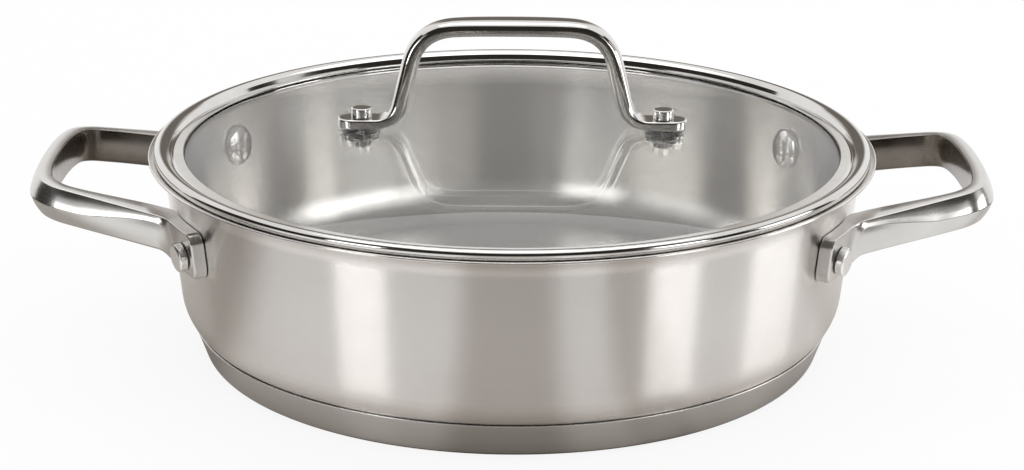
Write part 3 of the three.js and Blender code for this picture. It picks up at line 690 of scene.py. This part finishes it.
def side_handle(name, turn):
    place = Matrix.Rotation(turn, 3, "Z")
    piece = loft(name, [[place @ p for p in ring] for ring in handle_rings()], sharp=50)
    middle = place @ Vector(((MOUTH_RADIUS + HANDLE_PROJECTION / 2) * MM, 0, 0))
    # Faces that look in towards the pot get the dark steel as painted shade
    for face in piece.data.polygons:
        inward = (middle - face.center).to_2d().normalized()
        if face.normal.to_2d().dot(inward) > INNER_FACING:
            face.material_index = 1
    return piece


# Rivet: rounded button outside, shank through the wall and a low dome inside the pot
DOME_STEPS = 12
DOME_FULLNESS = 0.8
BUTTON_SHOULDER = 0.5
BUTTON_SLOPE = 0.8
BUTTON_CROWN = 0.1


def rivet(name, angle):
    head_low = FIT_GAP + FLANGE_THICKNESS + FIT_GAP
    head_high = head_low + RIVET_HEAD_HEIGHT
    sag = RIVET_DOME_RADIUS**2 / (2 * MOUTH_RADIUS)
    dome_low = -(WALL_THICKNESS + FIT_GAP + sag)
    dome_edge = RIVET_DOME_HEIGHT / 4
    dome_top = dome_low - RIVET_DOME_HEIGHT
    dome = [
        (0, dome_top),
        (RIVET_DOME_RADIUS * DOME_FULLNESS, dome_top),
        (RIVET_DOME_RADIUS, dome_low - dome_edge),
    ]
    profile = [tuple(quadratic(*dome, i / DOME_STEPS)) for i in range(DOME_STEPS + 1)]
    profile += rounded([
        (RIVET_DOME_RADIUS, dome_low - dome_edge, 0),
        (RIVET_DOME_RADIUS, dome_low, 0.2),
        (RIVET_SHANK_RADIUS, dome_low, 0),
    ])[1:]
    profile += [(RIVET_SHANK_RADIUS, head_low)]
    profile += rounded([
        (RIVET_SHANK_RADIUS, head_low, 0),
        (RIVET_HEAD_RADIUS, head_low, 0.2),
        (RIVET_HEAD_RADIUS, head_high - BUTTON_SHOULDER, 0.4),
        (RIVET_HEAD_RADIUS - BUTTON_SLOPE, head_high - BUTTON_CROWN, 0.7),
        (0, head_high, 0),
    ])[1:]
    radius = RIVET_RADIUS_AT
    turn = Matrix.Rotation(angle, 4, "Z") @ Matrix.Rotation(math.pi / 2 + LEAN, 4, "Y")
    spot = Matrix.Translation((radius * math.cos(angle), radius * math.sin(angle), RIVET_HEIGHT))
    piece = lathe(name, profile, steps=SMALL_TURN_STEPS, place=spot @ turn)
    for face in piece.data.polygons:
        if face.center.to_2d().length < (radius - WALL_THICKNESS) * MM:
            face.material_index = 1
    return piece


# Lid glass: a thin clear dome
GLASS_RINGS = 60
GLASS_ROUNDING = 0.5


def lid_dome():
    turns = [GLASS_RADIUS * (1 - i / GLASS_RINGS) for i in range(GLASS_RINGS + 1)]
    profile = [(r, glass_under(r)) for r in reversed(turns[1:])]
    profile += rounded([
        (turns[1], glass_under(turns[1]), 0),
        (GLASS_RADIUS, glass_under(GLASS_RADIUS), GLASS_ROUNDING),
        (GLASS_RADIUS, glass_top(GLASS_RADIUS), GLASS_ROUNDING),
        (turns[1], glass_top(turns[1]), 0),
    ])[1:-1]
    profile += [(r, glass_top(r)) for r in turns[1:]]
    return lathe("lid_dome", profile)


# Lid rim: lip on the glass, crimped groove, bead that rests on the pot, skirt and lower lip
SHOULDER_STEPS = 10
CROWN_STEPS = 16


def lid_band():
    pocket = GLASS_RADIUS + FIT_GAP
    lip_end = pocket - RIM_LIP_WIDTH
    lower_end = pocket - LOWER_LIP_WIDTH
    skirt_inside = SKIRT_RADIUS - 2 * RIM_SHEET
    skirt_foot = BEAD_Z - SKIRT_DEPTH
    hem = RIM_SHEET / 2

    def lip_under(x):
        return glass_top(x) + FIT_GAP

    def lower_top(x):
        return glass_under(x) - FIT_GAP

    groove_x = pocket + hem / 2
    groove = lip_under(pocket) + RIM_SHEET - RIM_GROOVE_DEPTH
    crease = pocket - RIM_SHEET
    top = BEAD_Z + BEAD_RISE
    shoulder = arc(BEAD_X, top, BEAD_RADIUS, BEAD_SHOULDER, BEAD_SHOULDER, 1)[0]
    swell = (
        shoulder[0] - BEAD_CROWN * math.sin(BEAD_SHOULDER),
        shoulder[1] + BEAD_CROWN * math.cos(BEAD_SHOULDER),
    )
    slope = (groove_x + GROOVE_RUN, groove + GROOVE_RISE)
    profile = rounded([
        (lower_end, lower_top(lower_end) - RIM_SHEET, hem * 0.6),
        (skirt_inside, lower_top(skirt_inside) - RIM_SHEET, 0.5),
        (skirt_inside, skirt_foot, hem),
        (SKIRT_RADIUS, skirt_foot, hem),
        (SKIRT_RADIUS, BEAD_Z - BEAD_RADIUS, 0.5),
        (BEAD_X, BEAD_Z - BEAD_RADIUS, 0),
    ])
    profile += arc(BEAD_X, BEAD_Z, BEAD_RADIUS, -math.pi / 2, 0, EDGE_STEPS)[1:]
    profile += arc(BEAD_X, top, BEAD_RADIUS, 0, BEAD_SHOULDER, SHOULDER_STEPS)
    crown = (shoulder, swell, slope)
    profile += [tuple(quadratic(*crown, i / CROWN_STEPS)) for i in range(1, CROWN_STEPS)]
    profile += rounded([
        (*profile[-1], 0),
        (*slope, 0.3),
        (groove_x, groove, 0.25),
        (crease, lip_under(crease) + RIM_SHEET, 0.4),
        (lip_end, lip_under(lip_end) + RIM_SHEET, hem),
        (lip_end, lip_under(lip_end), hem * 0.5),
        (pocket, lip_under(pocket), 0.2),
        (pocket, lower_top(pocket), 0.2),
        (lower_end, lower_top(lower_end), hem * 0.6),
        (lower_end, lower_top(lower_end) - RIM_SHEET, 0),
    ])[1:-1]
    return lathe("lid_band", profile, closed=True, sharp=60)


# Lid handle: a strap bent over the lid, flattened into a foot with a round end on each side
STRAP_POINTS = 22
STRAP_ROUNDNESS = 2.7
PAD_SHOWS = 0.4
FOOT_END_TURNS = range(-88, 1, 4)
TONGUE_RINGS = 5
LOW_BEND_RINGS = 18
LEG_RINGS = 8
HIGH_BEND_RINGS = 20
GRIP_RINGS = 14


def slab_ring(centre, normal, half_width, top_at):
    """Ring across the strap. Its upper and lower faces follow top_at, from the middle to the edge."""
    turns = [math.pi / 2 * (2 * i / STRAP_POINTS - 1) for i in range(STRAP_POINTS + 1)]
    spots = [half_width * math.sin(turn) for turn in turns]
    upper = [(y, top_at(abs(y))) for y in spots]
    lower = [(y, -top_at(abs(y))) for y in reversed(spots)]
    ring = []
    for y, n in upper + lower:
        ring.append(Vector((centre[0] + normal[0] * n, y, centre[1] + normal[1] * n)))
    return ring


def foot_top(edge):
    """Half thickness of a foot at a distance from its rounded edge."""
    sunk = max(0, FOOT_ROUNDING - edge)
    return FOOT_THICKNESS / 2 - FOOT_ROUNDING + math.sqrt(max(0, FOOT_ROUNDING**2 - sunk**2))


def strap_top(share):
    """Half thickness of the strap at a share of its half width."""
    return STRAP_THICKNESS / 2 * max(0, 1 - share**STRAP_ROUNDNESS) ** (1 / STRAP_ROUNDNESS)


def strap_ring(centre, slope, width, flatness):
    half = width / 2

    def top_at(y):
        return foot_top(half - y) * flatness + strap_top(min(1, y / half)) * (1 - flatness)

    return slab_ring(centre, (-slope[1], slope[0]), half, top_at)


def foot_ring(angle, end_x, middle):
    radius = STRAP_WIDTH / 2
    along = radius * math.sin(angle)

    def top_at(y):
        return foot_top(radius - math.hypot(along, y))

    return slab_ring((end_x + along, middle), (0, 1), radius * math.cos(angle), top_at)


def grip_width(x):
    return GRIP_WIDTH + (STRAP_WIDTH - GRIP_WIDTH) * min(1, (x / LEG_TOP_HALF) ** 2)


def bedded(strap):
    """Lowers the underside of the feet to the glass, so that only a thin line of the pad shows."""
    middle = FOOT_Z + FOOT_THICKNESS / 2
    for vertex in strap.data.vertices:
        x, y, z = vertex.co / MM
        on_foot = smooth(min(1, max(0, (abs(x) - LEG_FOOT_HALF) / LEG_FOOT_SETBACK)))
        depth = min(1, max(0, (middle - z) / (FOOT_THICKNESS / 2)))
        gap = FOOT_Z - glass_top(math.hypot(x, y)) - PAD_SHOWS
        vertex.co.z -= on_foot * depth * gap * MM
    return strap


def lid_strap():
    foot_middle = FOOT_Z + FOOT_THICKNESS / 2
    strap_middle = glass_top(SCREW_X) + STRAP_TOP - STRAP_THICKNESS / 2
    screw = (-SCREW_X, foot_middle)
    leg_foot = (-LEG_FOOT_HALF, foot_middle)
    leg_top = (-LEG_TOP_HALF, strap_middle - STRAP_CROWN)
    crown = (0, strap_middle)
    crown_control = (-LEG_TOP_HALF / 2, strap_middle)
    foot_end = -SCREW_X - FOOT_OVERHANG
    low_bend = (step_towards(leg_foot, screw, LEG_FOOT_SETBACK), leg_foot,
                step_towards(leg_foot, leg_top, LEG_FOOT_SETBACK))
    high_bend = (step_towards(leg_top, leg_foot, LEG_TOP_SETBACK), leg_top,
                 step_towards(leg_top, crown_control, LEG_TOP_SETBACK))
    rings = [foot_ring(math.radians(a), foot_end, foot_middle) for a in FOOT_END_TURNS]
    tongue = (Vector((foot_end, foot_middle)), low_bend[0])
    for i in range(1, TONGUE_RINGS):
        centre = tongue[0].lerp(tongue[1], i / TONGUE_RINGS)
        rings.append(strap_ring(centre, (1, 0), STRAP_WIDTH, 1))
    for i in range(LOW_BEND_RINGS + 1):
        t = i / LOW_BEND_RINGS
        centre = quadratic(*low_bend, t)
        rings.append(strap_ring(centre, quadratic_slope(*low_bend, t), STRAP_WIDTH, 1 - smooth(t)))
    leg = (low_bend[2], low_bend[2].lerp(high_bend[0], 0.5), high_bend[0])
    grip = (high_bend[2], crown_control, crown)
    for curve, steps in ((leg, LEG_RINGS), (high_bend, HIGH_BEND_RINGS), (grip, GRIP_RINGS)):
        for i in range(1, steps + 1):
            t = i / steps
            centre = quadratic(*curve, t)
            rings.append(strap_ring(centre, quadratic_slope(*curve, t), grip_width(centre[0]), 0))
    mirrored = [[Vector((-p.x, p.y, p.z)) for p in ring] for ring in reversed(rings[:-1])]
    return bedded(loft("lid_strap", rings + mirrored, sharp=50))


# Fastening of a lid foot
PAD_TUCK = 0.7
BOLT_FACE_SHARE = 0.72


def cap_nut(name, place):
    high = NUT_Z + NUT_HEIGHT
    profile = rounded([
        (0, NUT_Z, 0),
        (NUT_RADIUS, NUT_Z, 0.25),
        (NUT_RADIUS, high, 0.7),
        (0, high, 0),
    ])
    return lathe(name, profile, steps=SMALL_TURN_STEPS, place=place)


def lid_bolt(name, place):
    low = SCREW_HEAD_TOP - SCREW_HEAD_HEIGHT
    profile = rounded([
        (0, low, 0),
        (SCREW_HEAD_RADIUS * BOLT_FACE_SHARE, low, 1.2),
        (SCREW_HEAD_RADIUS, SCREW_HEAD_TOP - SCREW_HEAD_HEIGHT / 3, 0.4),
        (SCREW_HEAD_RADIUS, SCREW_HEAD_TOP, 0.15),
        (SCREW_RADIUS, SCREW_HEAD_TOP, 0),
        (SCREW_RADIUS, NUT_Z, 0),
        (0, NUT_Z, 0),
    ])
    return lathe(name, profile, steps=SMALL_TURN_STEPS, place=place)


def lid_washer(name, place):
    low = WASHER_TOP - WASHER_THICKNESS
    profile = rounded([
        (SCREW_RADIUS + FIT_GAP, low, 0),
        (WASHER_RADIUS, low, 0.25),
        (WASHER_RADIUS, WASHER_TOP, 0.25),
        (SCREW_RADIUS + FIT_GAP, WASHER_TOP, 0),
    ], closed=True)
    return lathe(name, profile, closed=True, steps=SMALL_TURN_STEPS, place=place)


def moulded(piece, side, surface):
    """Moves the points beyond a level onto the dome, so that a gasket follows the glass."""
    for vertex in piece.data.vertices:
        radius = math.hypot(vertex.co.x, vertex.co.y) / MM
        level = surface(radius) * MM
        if (vertex.co.z - level) * side > 0:
            vertex.co.z = level
    return piece


def upper_ring(name, place, outboard):
    """Pad under a foot, longer towards the rim, with the screw hole."""
    inner = SCREW_RADIUS + FIT_GAP
    radius = STRAP_WIDTH / 2 - UPPER_GASKET_INSET - PAD_TUCK
    low = glass_top(SCREW_X + STRAP_WIDTH) - SEAT_GAP
    high = FOOT_Z
    half = SMALL_TURN_STEPS // 2 - 1
    edge = arc(FOOT_OVERHANG, 0, radius, -math.pi / 2, math.pi / 2, half)
    edge += arc(-UPPER_GASKET_BACK, 0, radius, math.pi / 2, 3 * math.pi / 2, half)
    bore = [Vector(p).normalized() * inner for p in edge]
    levels = ((edge, low), (edge, high), (bore, high), (bore, low))
    turn = Matrix.Rotation(0 if outboard > 0 else math.pi, 4, "Z")
    rings = [[place @ turn @ Vector((x, y, z)) for x, y in line] for line, z in levels]
    pad = moulded(loft(name, rings, ring_shaped=True), 1, lambda r: glass_top(r) + PAD_SHOWS - SEAT_GAP)
    return moulded(pad, -1, lambda r: glass_top(r) + SEAT_GAP)


def lower_ring(name, place):
    inner = SCREW_RADIUS + FIT_GAP
    low = WASHER_TOP + SEAT_GAP
    high = glass_under(SCREW_X - LOWER_GASKET_RADIUS) + SEAT_GAP
    profile = rounded([
        (inner, low, 0),
        (LOWER_GASKET_RADIUS, low, 0.4),
        (LOWER_GASKET_RADIUS, high, 0),
        (inner, high, 0),
    ], closed=True)
    piece = lathe(name, profile, closed=True, steps=SMALL_TURN_STEPS, place=place)
    return moulded(piece, 1, lambda r: glass_under(r) - SEAT_GAP)


# The object, piece by piece
shell = wear(pot_shell(), "pot", "pot_body", WALL_STEEL)
shell.data.materials.append(INSIDE_STEEL)
base = wear(base_plate(), "pot", "base_cap", BASE_STEEL)
# Pale steel on the top edge is a painted highlight
base.data.materials.append(RIVET_AND_HIGHLIGHT_STEEL)
# Dark steel at the foot is a painted shadow
base.data.materials.append(PAINTED_SHADE_STEEL)
for side, turn in (("right", 0), ("left", math.pi)):
    handle = side_handle(side + "_loop_handle", turn)
    wear(handle, "pot", side + "_handle", CAST)
    # Inner faces take the dark steel as painted shade
    handle.data.materials.append(PAINTED_SHADE_STEEL)
RIVET_PLACES = {
    "front_right": -RIVET_ANGLE,
    "rear_right": RIVET_ANGLE,
    "rear_left": math.pi - RIVET_ANGLE,
    "front_left": math.pi + RIVET_ANGLE,
}
for corner, angle in RIVET_PLACES.items():
    button = rivet(corner + "_button_rivet", angle)
    wear(button, "pot", corner + "_rivet", RIVET_AND_HIGHLIGHT_STEEL)
    button.data.materials.append(POLISHED)
wear(lid_dome(), "lid", "lid_glass", GLASS)
wear(lid_band(), "lid", "lid_rim", POLISHED)
wear(lid_strap(), "lid", "lid_handle", POLISHED)
for side, x in (("left", -SCREW_X), ("right", SCREW_X)):
    place = Matrix.Translation((x, 0, 0))
    wear(cap_nut(side + "_cap_nut", place), "lid", side + "_lid_nut", POLISHED)
    wear(lid_bolt(side + "_lid_bolt", place), "lid", side + "_lid_screw", POLISHED)
    pad = upper_ring(side + "_upper_ring", place, x)
    wear(pad, "lid", side + "_upper_gasket", BLACK_SILICONE)
    seal = lower_ring(side + "_lower_ring", place)
    wear(seal, "lid", side + "_lower_gasket", CLEAR_SILICONE)
    wear(lid_washer(side + "_washer", place), "lid", side + "_lower_washer", POLISHED)
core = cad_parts["base_core"]
core.data.materials.clear()
core.data.materials.append(CORE_METAL)


# Floor and background, white where the camera, a reflection or the glass shows them
FLOOR_TONE = (0.85, 0.85, 0.85, 1)
WHITE_SHARE = 0.88
WHITE_LEVEL = 1.0
ROOM_LEVEL = 0.95
FLOOR_REACH = 4.0
FLOOR_Z_M = -0.0002


def white_floor():
    nodes = Nodes("white_floor")
    path = nodes.add("LightPath")
    plain = nodes.add("BsdfDiffuse", {"Color": FLOOR_TONE})
    white = nodes.add("Emission", {"Color": (1, 1, 1, 1), "Strength": WHITE_LEVEL})
    seen = nodes.math("MAXIMUM", path.outputs["Is Camera Ray"], path.outputs["Is Glossy Ray"])
    seen = nodes.math("MAXIMUM", seen, path.outputs["Is Transmission Ray"])
    share = nodes.math("MULTIPLY", seen, WHITE_SHARE)
    mix = nodes.add("MixShader", {0: share, 1: plain.outputs[0], 2: white.outputs[0]})
    nodes.tree.links.new(mix.outputs[0], nodes.output.inputs["Surface"])
    return nodes.material


def stage_sheet(name, corners, material):
    mesh = bpy.data.meshes.new(name)
    mesh.from_pydata(corners, [], [(0, 1, 2, 3)])
    sheet = bpy.data.objects.new(name, mesh)
    bpy.context.scene.collection.objects.link(sheet)
    mesh.materials.append(material)


stage_sheet("floor", [
    (-FLOOR_REACH, -FLOOR_REACH, FLOOR_Z_M),
    (FLOOR_REACH, -FLOOR_REACH, FLOOR_Z_M),
    (FLOOR_REACH, FLOOR_REACH, FLOOR_Z_M),
    (-FLOOR_REACH, FLOOR_REACH, FLOOR_Z_M),
], white_floor())

world = bpy.data.worlds.new("white_studio")
bpy.context.scene.world = world
world.use_nodes = True
world_nodes = world.node_tree.nodes
world_nodes["Background"].inputs["Color"].default_value = (1, 1, 1, 1)
path = world_nodes.new("ShaderNodeLightPath")
seen = world_nodes.new("ShaderNodeMath")
seen.operation = "MAXIMUM"
also = world_nodes.new("ShaderNodeMath")
also.operation = "MAXIMUM"
level = world_nodes.new("ShaderNodeMapRange")
level.inputs["To Min"].default_value = ROOM_LEVEL
level.inputs["To Max"].default_value = WHITE_LEVEL
links = world.node_tree.links
links.new(path.outputs["Is Camera Ray"], seen.inputs[0])
links.new(path.outputs["Is Glossy Ray"], seen.inputs[1])
links.new(seen.outputs[0], also.inputs[0])
links.new(path.outputs["Is Transmission Ray"], also.inputs[1])
links.new(also.outputs[0], level.inputs["Value"])
links.new(level.outputs["Result"], world_nodes["Background"].inputs["Strength"])

# Studio lamps: upright strips, each with a dimmer upper part, and a box overhead
LAMP_DISTANCE = 1.3
STRIP_LOW, STRIP_MIDDLE, STRIP_HIGH = 0.02, 0.42, 0.8
UPPER_SHARE = 1 / 6
STRIPS = (
    ("left", -46, 0.37, 4.4),
    ("right", 50, 0.37, 4.4),
    ("far_right", 89, 0.50, 4.6),
)
TOP_SIZE = (1.2, 0.8)
TOP_RADIANCE = 1.2
TOP_PLACE = (0, 0.5, 1.5)
TOP_TILT = math.radians(-18)


def around(azimuth, distance, height):
    """A place seen from the pot, with azimuth 0 towards the camera and positive to its right."""
    turn = math.radians(azimuth)
    return Vector((distance * math.sin(turn), -distance * math.cos(turn), height))


def area_lamp(name, width, height, radiance, place, rotation):
    light = bpy.data.lights.new(name, "AREA")
    light.shape = "RECTANGLE"
    light.size = width
    light.size_y = height
    light.energy = radiance * math.pi * width * height
    lamp = bpy.data.objects.new(name, light)
    bpy.context.scene.collection.objects.link(lamp)
    lamp.location = place
    lamp.rotation_euler = rotation
    lamp.visible_camera = False
    lamp.visible_transmission = False


def strip_lamp(name, azimuth, width, low, high, radiance):
    place = around(azimuth, LAMP_DISTANCE, (low + high) / 2)
    upright = (math.pi / 2, 0, math.radians(azimuth))
    area_lamp(name, width, high - low, radiance, place, upright)


for strip, azimuth, width, radiance in STRIPS:
    strip_lamp(strip + "_strip", azimuth, width, STRIP_LOW, STRIP_MIDDLE, radiance)
    strip_lamp(strip + "_high_strip", azimuth, width, STRIP_MIDDLE, STRIP_HIGH, radiance * UPPER_SHARE)
area_lamp("top_box", *TOP_SIZE, TOP_RADIANCE, TOP_PLACE, (TOP_TILT, 0, 0))

# Studio cards. Their places are (distance, height) in metres and their ranges are azimuths in degrees.
CARD_STEP = 2
CARD_Z = 0.0004
WARM_TINT = (1, 0.88, 0.77, 1)
FLOOR_RANGE = (-150, 150)
FLOOR_ROWS = ((0.107, 0.3), (0.12, 0.56), (0.14, 0.78), (0.18, 1.0), (0.36, 1.0))
FLOOR_DIPS = ((-130, -59, 0.52), (-15, 14, 0.35), (20, 36, 0.3), (78, 124, 0.3))
FRONT_RANGE = (-112, 112)
FRONT_HIGH_RANGE = (-75, 75)
FRONT_FOOT, FRONT_TOP, FRONT_CEILING = (1.7, 0.0), (1.7, 1.5), (0.95, 2.0)
FAR_FLOOR_SHADE = 0.06
FRONT_SHADE = 0.03
REAR_RANGE = (162, 198)
REAR_FOOT, REAR_MIDDLE, REAR_TOP = (1.5, 0.1), (1.5, 0.27), (1.5, 0.95)
REAR_SHADE = 0.18
REAR_EDGE = 0.9
REAR_FOOT_SHADE = 0.8
INSIDE_LOW, INSIDE_HIGH, INSIDE_TOP = (1.6, 0.1), (1.6, 1.45), (0.45, 1.9)
INSIDE_EDGE = 0.5
INSIDE_SECTORS = (
    (-160, -92, 1.8), (-92, -48, 1.2), (-50, -16, 3.2), (-16, 28, 0.3),
    (26, 102, 3.3), (102, 150, 0.4), (150, 200, 0.5))
ALL_ROUND = (-180, 180)
CEILING_SHADE = 0.32
TOP_SHADE = 0.6


def card_finish():
    """A card that only reflections show, those under the glass if its mesh says inside else the others."""
    nodes = Nodes("card")
    path = nodes.add("LightPath")
    reflected = nodes.math("MINIMUM", path.outputs["Glossy Depth"], 1.0)
    through = nodes.math("MINIMUM", path.outputs["Transmission Depth"], 1.0)
    inside = nodes.add("Attribute", attribute_name="inside").outputs["Fac"]
    other_side = nodes.math("ABSOLUTE", nodes.math("SUBTRACT", inside, through))
    seen = nodes.math("MULTIPLY", reflected, nodes.math("SUBTRACT", 1.0, other_side))
    clear = nodes.add("BsdfTransparent")
    shade = nodes.add("Attribute", attribute_name="shade").outputs["Fac"]
    paleness = nodes.math("MINIMUM", nodes.math("MAXIMUM", shade, inside), 1.0)
    tint = nodes.mix(paleness, WARM_TINT, (1, 1, 1, 1))
    plain = nodes.add("Emission", {"Color": tint, "Strength": shade})
    mix = nodes.add("MixShader", {0: seen, 1: clear.outputs[0], 2: plain.outputs[0]})
    nodes.tree.links.new(mix.outputs[0], nodes.output.inputs["Surface"])
    return nodes.material


CARD_FINISH = card_finish()


def dip(azimuth, start, end):
    """One in the middle half of a range of azimuths, falling softly to nothing at its ends."""
    away = abs(2 * (azimuth - start) / (end - start) - 1)
    return 1 - smooth(min(1, max(0, 2 * away - 1)))


def studio_sheet(name, start, end, rows, shade_at, inside):
    """A curved sheet through rows of places, which holds its shade and side in its points."""
    steps = max(2, round(abs(end - start) / CARD_STEP))
    turns = [start + (end - start) * i / steps for i in range(steps + 1)]
    count = steps + 1
    points = [around(turn, *row) for row in rows for turn in turns]
    corners = [k * count + i for k in range(len(rows) - 1) for i in range(steps)]
    mesh = bpy.data.meshes.new(name)
    mesh.from_pydata(points, [], [(i, i + 1, i + count + 1, i + count) for i in corners])
    mesh.materials.append(CARD_FINISH)
    shades = mesh.attributes.new("shade", "FLOAT", "POINT")
    sides = mesh.attributes.new("inside", "FLOAT", "POINT")
    for i in range(len(points)):
        shades.data[i].value = shade_at(turns[i % count], i // count)
        sides.data[i].value = inside
    sheet = bpy.data.objects.new(name, mesh)
    bpy.context.scene.collection.objects.link(sheet)
    sheet.visible_camera = False
    sheet.visible_diffuse = False
    sheet.visible_shadow = False


def card(name, start, end, near, far, shade, edge=None, inside=0.0, near_shade=None):
    """A card between two azimuths, from one place to another, with its own shade at both ends."""
    outer = shade if edge is None else edge
    rows_shade = (shade if near_shade is None else near_shade, shade)

    def shade_at(azimuth, row):
        return outer + (rows_shade[row] - outer) * dip(azimuth, start, end)

    studio_sheet(name, start, end, (near, far), shade_at, inside)


def floor_shade(azimuth, row):
    """Shade of the floor near the pot, darker towards its foot and in some directions."""
    shade = FLOOR_ROWS[row][1]
    for start, end, depth in FLOOR_DIPS:
        if start < azimuth < end:
            shade *= 1 - depth * dip(azimuth, start, end)
    return shade


floor_rows = [(distance, CARD_Z) for distance, shade in FLOOR_ROWS]
studio_sheet("near_floor", *FLOOR_RANGE, floor_rows, floor_shade, 0.0)
card("front_far_floor", *FRONT_RANGE, floor_rows[-1], (FRONT_FOOT[0], CARD_Z), FAR_FLOOR_SHADE)
card("front_room", *FRONT_RANGE, FRONT_FOOT, FRONT_TOP, FRONT_SHADE)
card("front_high", *FRONT_HIGH_RANGE, FRONT_TOP, FRONT_CEILING, FRONT_SHADE)
card("rear_low_room", *REAR_RANGE, REAR_FOOT, REAR_MIDDLE, REAR_SHADE, REAR_EDGE, near_shade=REAR_FOOT_SHADE)
card("rear_room", *REAR_RANGE, REAR_MIDDLE, REAR_TOP, REAR_SHADE, REAR_EDGE)
for start, end, shade in INSIDE_SECTORS:
    card("inside_room", start, end, INSIDE_LOW, INSIDE_HIGH, shade, INSIDE_EDGE, inside=1.0)
card("inside_ceiling", *ALL_ROUND, INSIDE_HIGH, INSIDE_TOP, CEILING_SHADE, inside=1.0)
card("inside_top", *ALL_ROUND, INSIDE_TOP, (0.0, INSIDE_TOP[1]), TOP_SHADE, inside=1.0)

# Camera at the photograph's viewing angle
SENSOR_WIDTH = 36
FOCAL_PIXELS = 2387
PHOTO_WIDTH, PHOTO_HEIGHT = 1024, 470
CAMERA_DISTANCE = 0.850
NEAREST_VIEW = 0.01
CAMERA_ELEVATION = math.radians(18.59)
CAMERA_ROLL = math.radians(0.375)
TARGET = Vector((0, 0, 0.040))
TARGET_PIXEL = (511.64, 228.8)
camera_data = bpy.data.cameras.new("camera")
camera_data.sensor_width = SENSOR_WIDTH
camera_data.lens = SENSOR_WIDTH * FOCAL_PIXELS / PHOTO_WIDTH
camera_data.shift_x = (PHOTO_WIDTH / 2 - TARGET_PIXEL[0]) / PHOTO_WIDTH
camera_data.shift_y = (TARGET_PIXEL[1] - PHOTO_HEIGHT / 2) / PHOTO_WIDTH
camera_data.clip_start = NEAREST_VIEW
camera = bpy.data.objects.new("camera", camera_data)
bpy.context.scene.collection.objects.link(camera)
back = Vector((0, -math.cos(CAMERA_ELEVATION), math.sin(CAMERA_ELEVATION)))
camera.rotation_mode = "QUATERNION"
facing = (-back).to_track_quat("-Z", "Y").to_matrix() @ Matrix.Rotation(CAMERA_ROLL, 3, "Z")
camera.rotation_quaternion = facing.to_quaternion()
camera.location = TARGET + back * CAMERA_DISTANCE
bpy.context.scene.camera = camera
bpy.context.scene.view_settings.view_transform = "Standard"
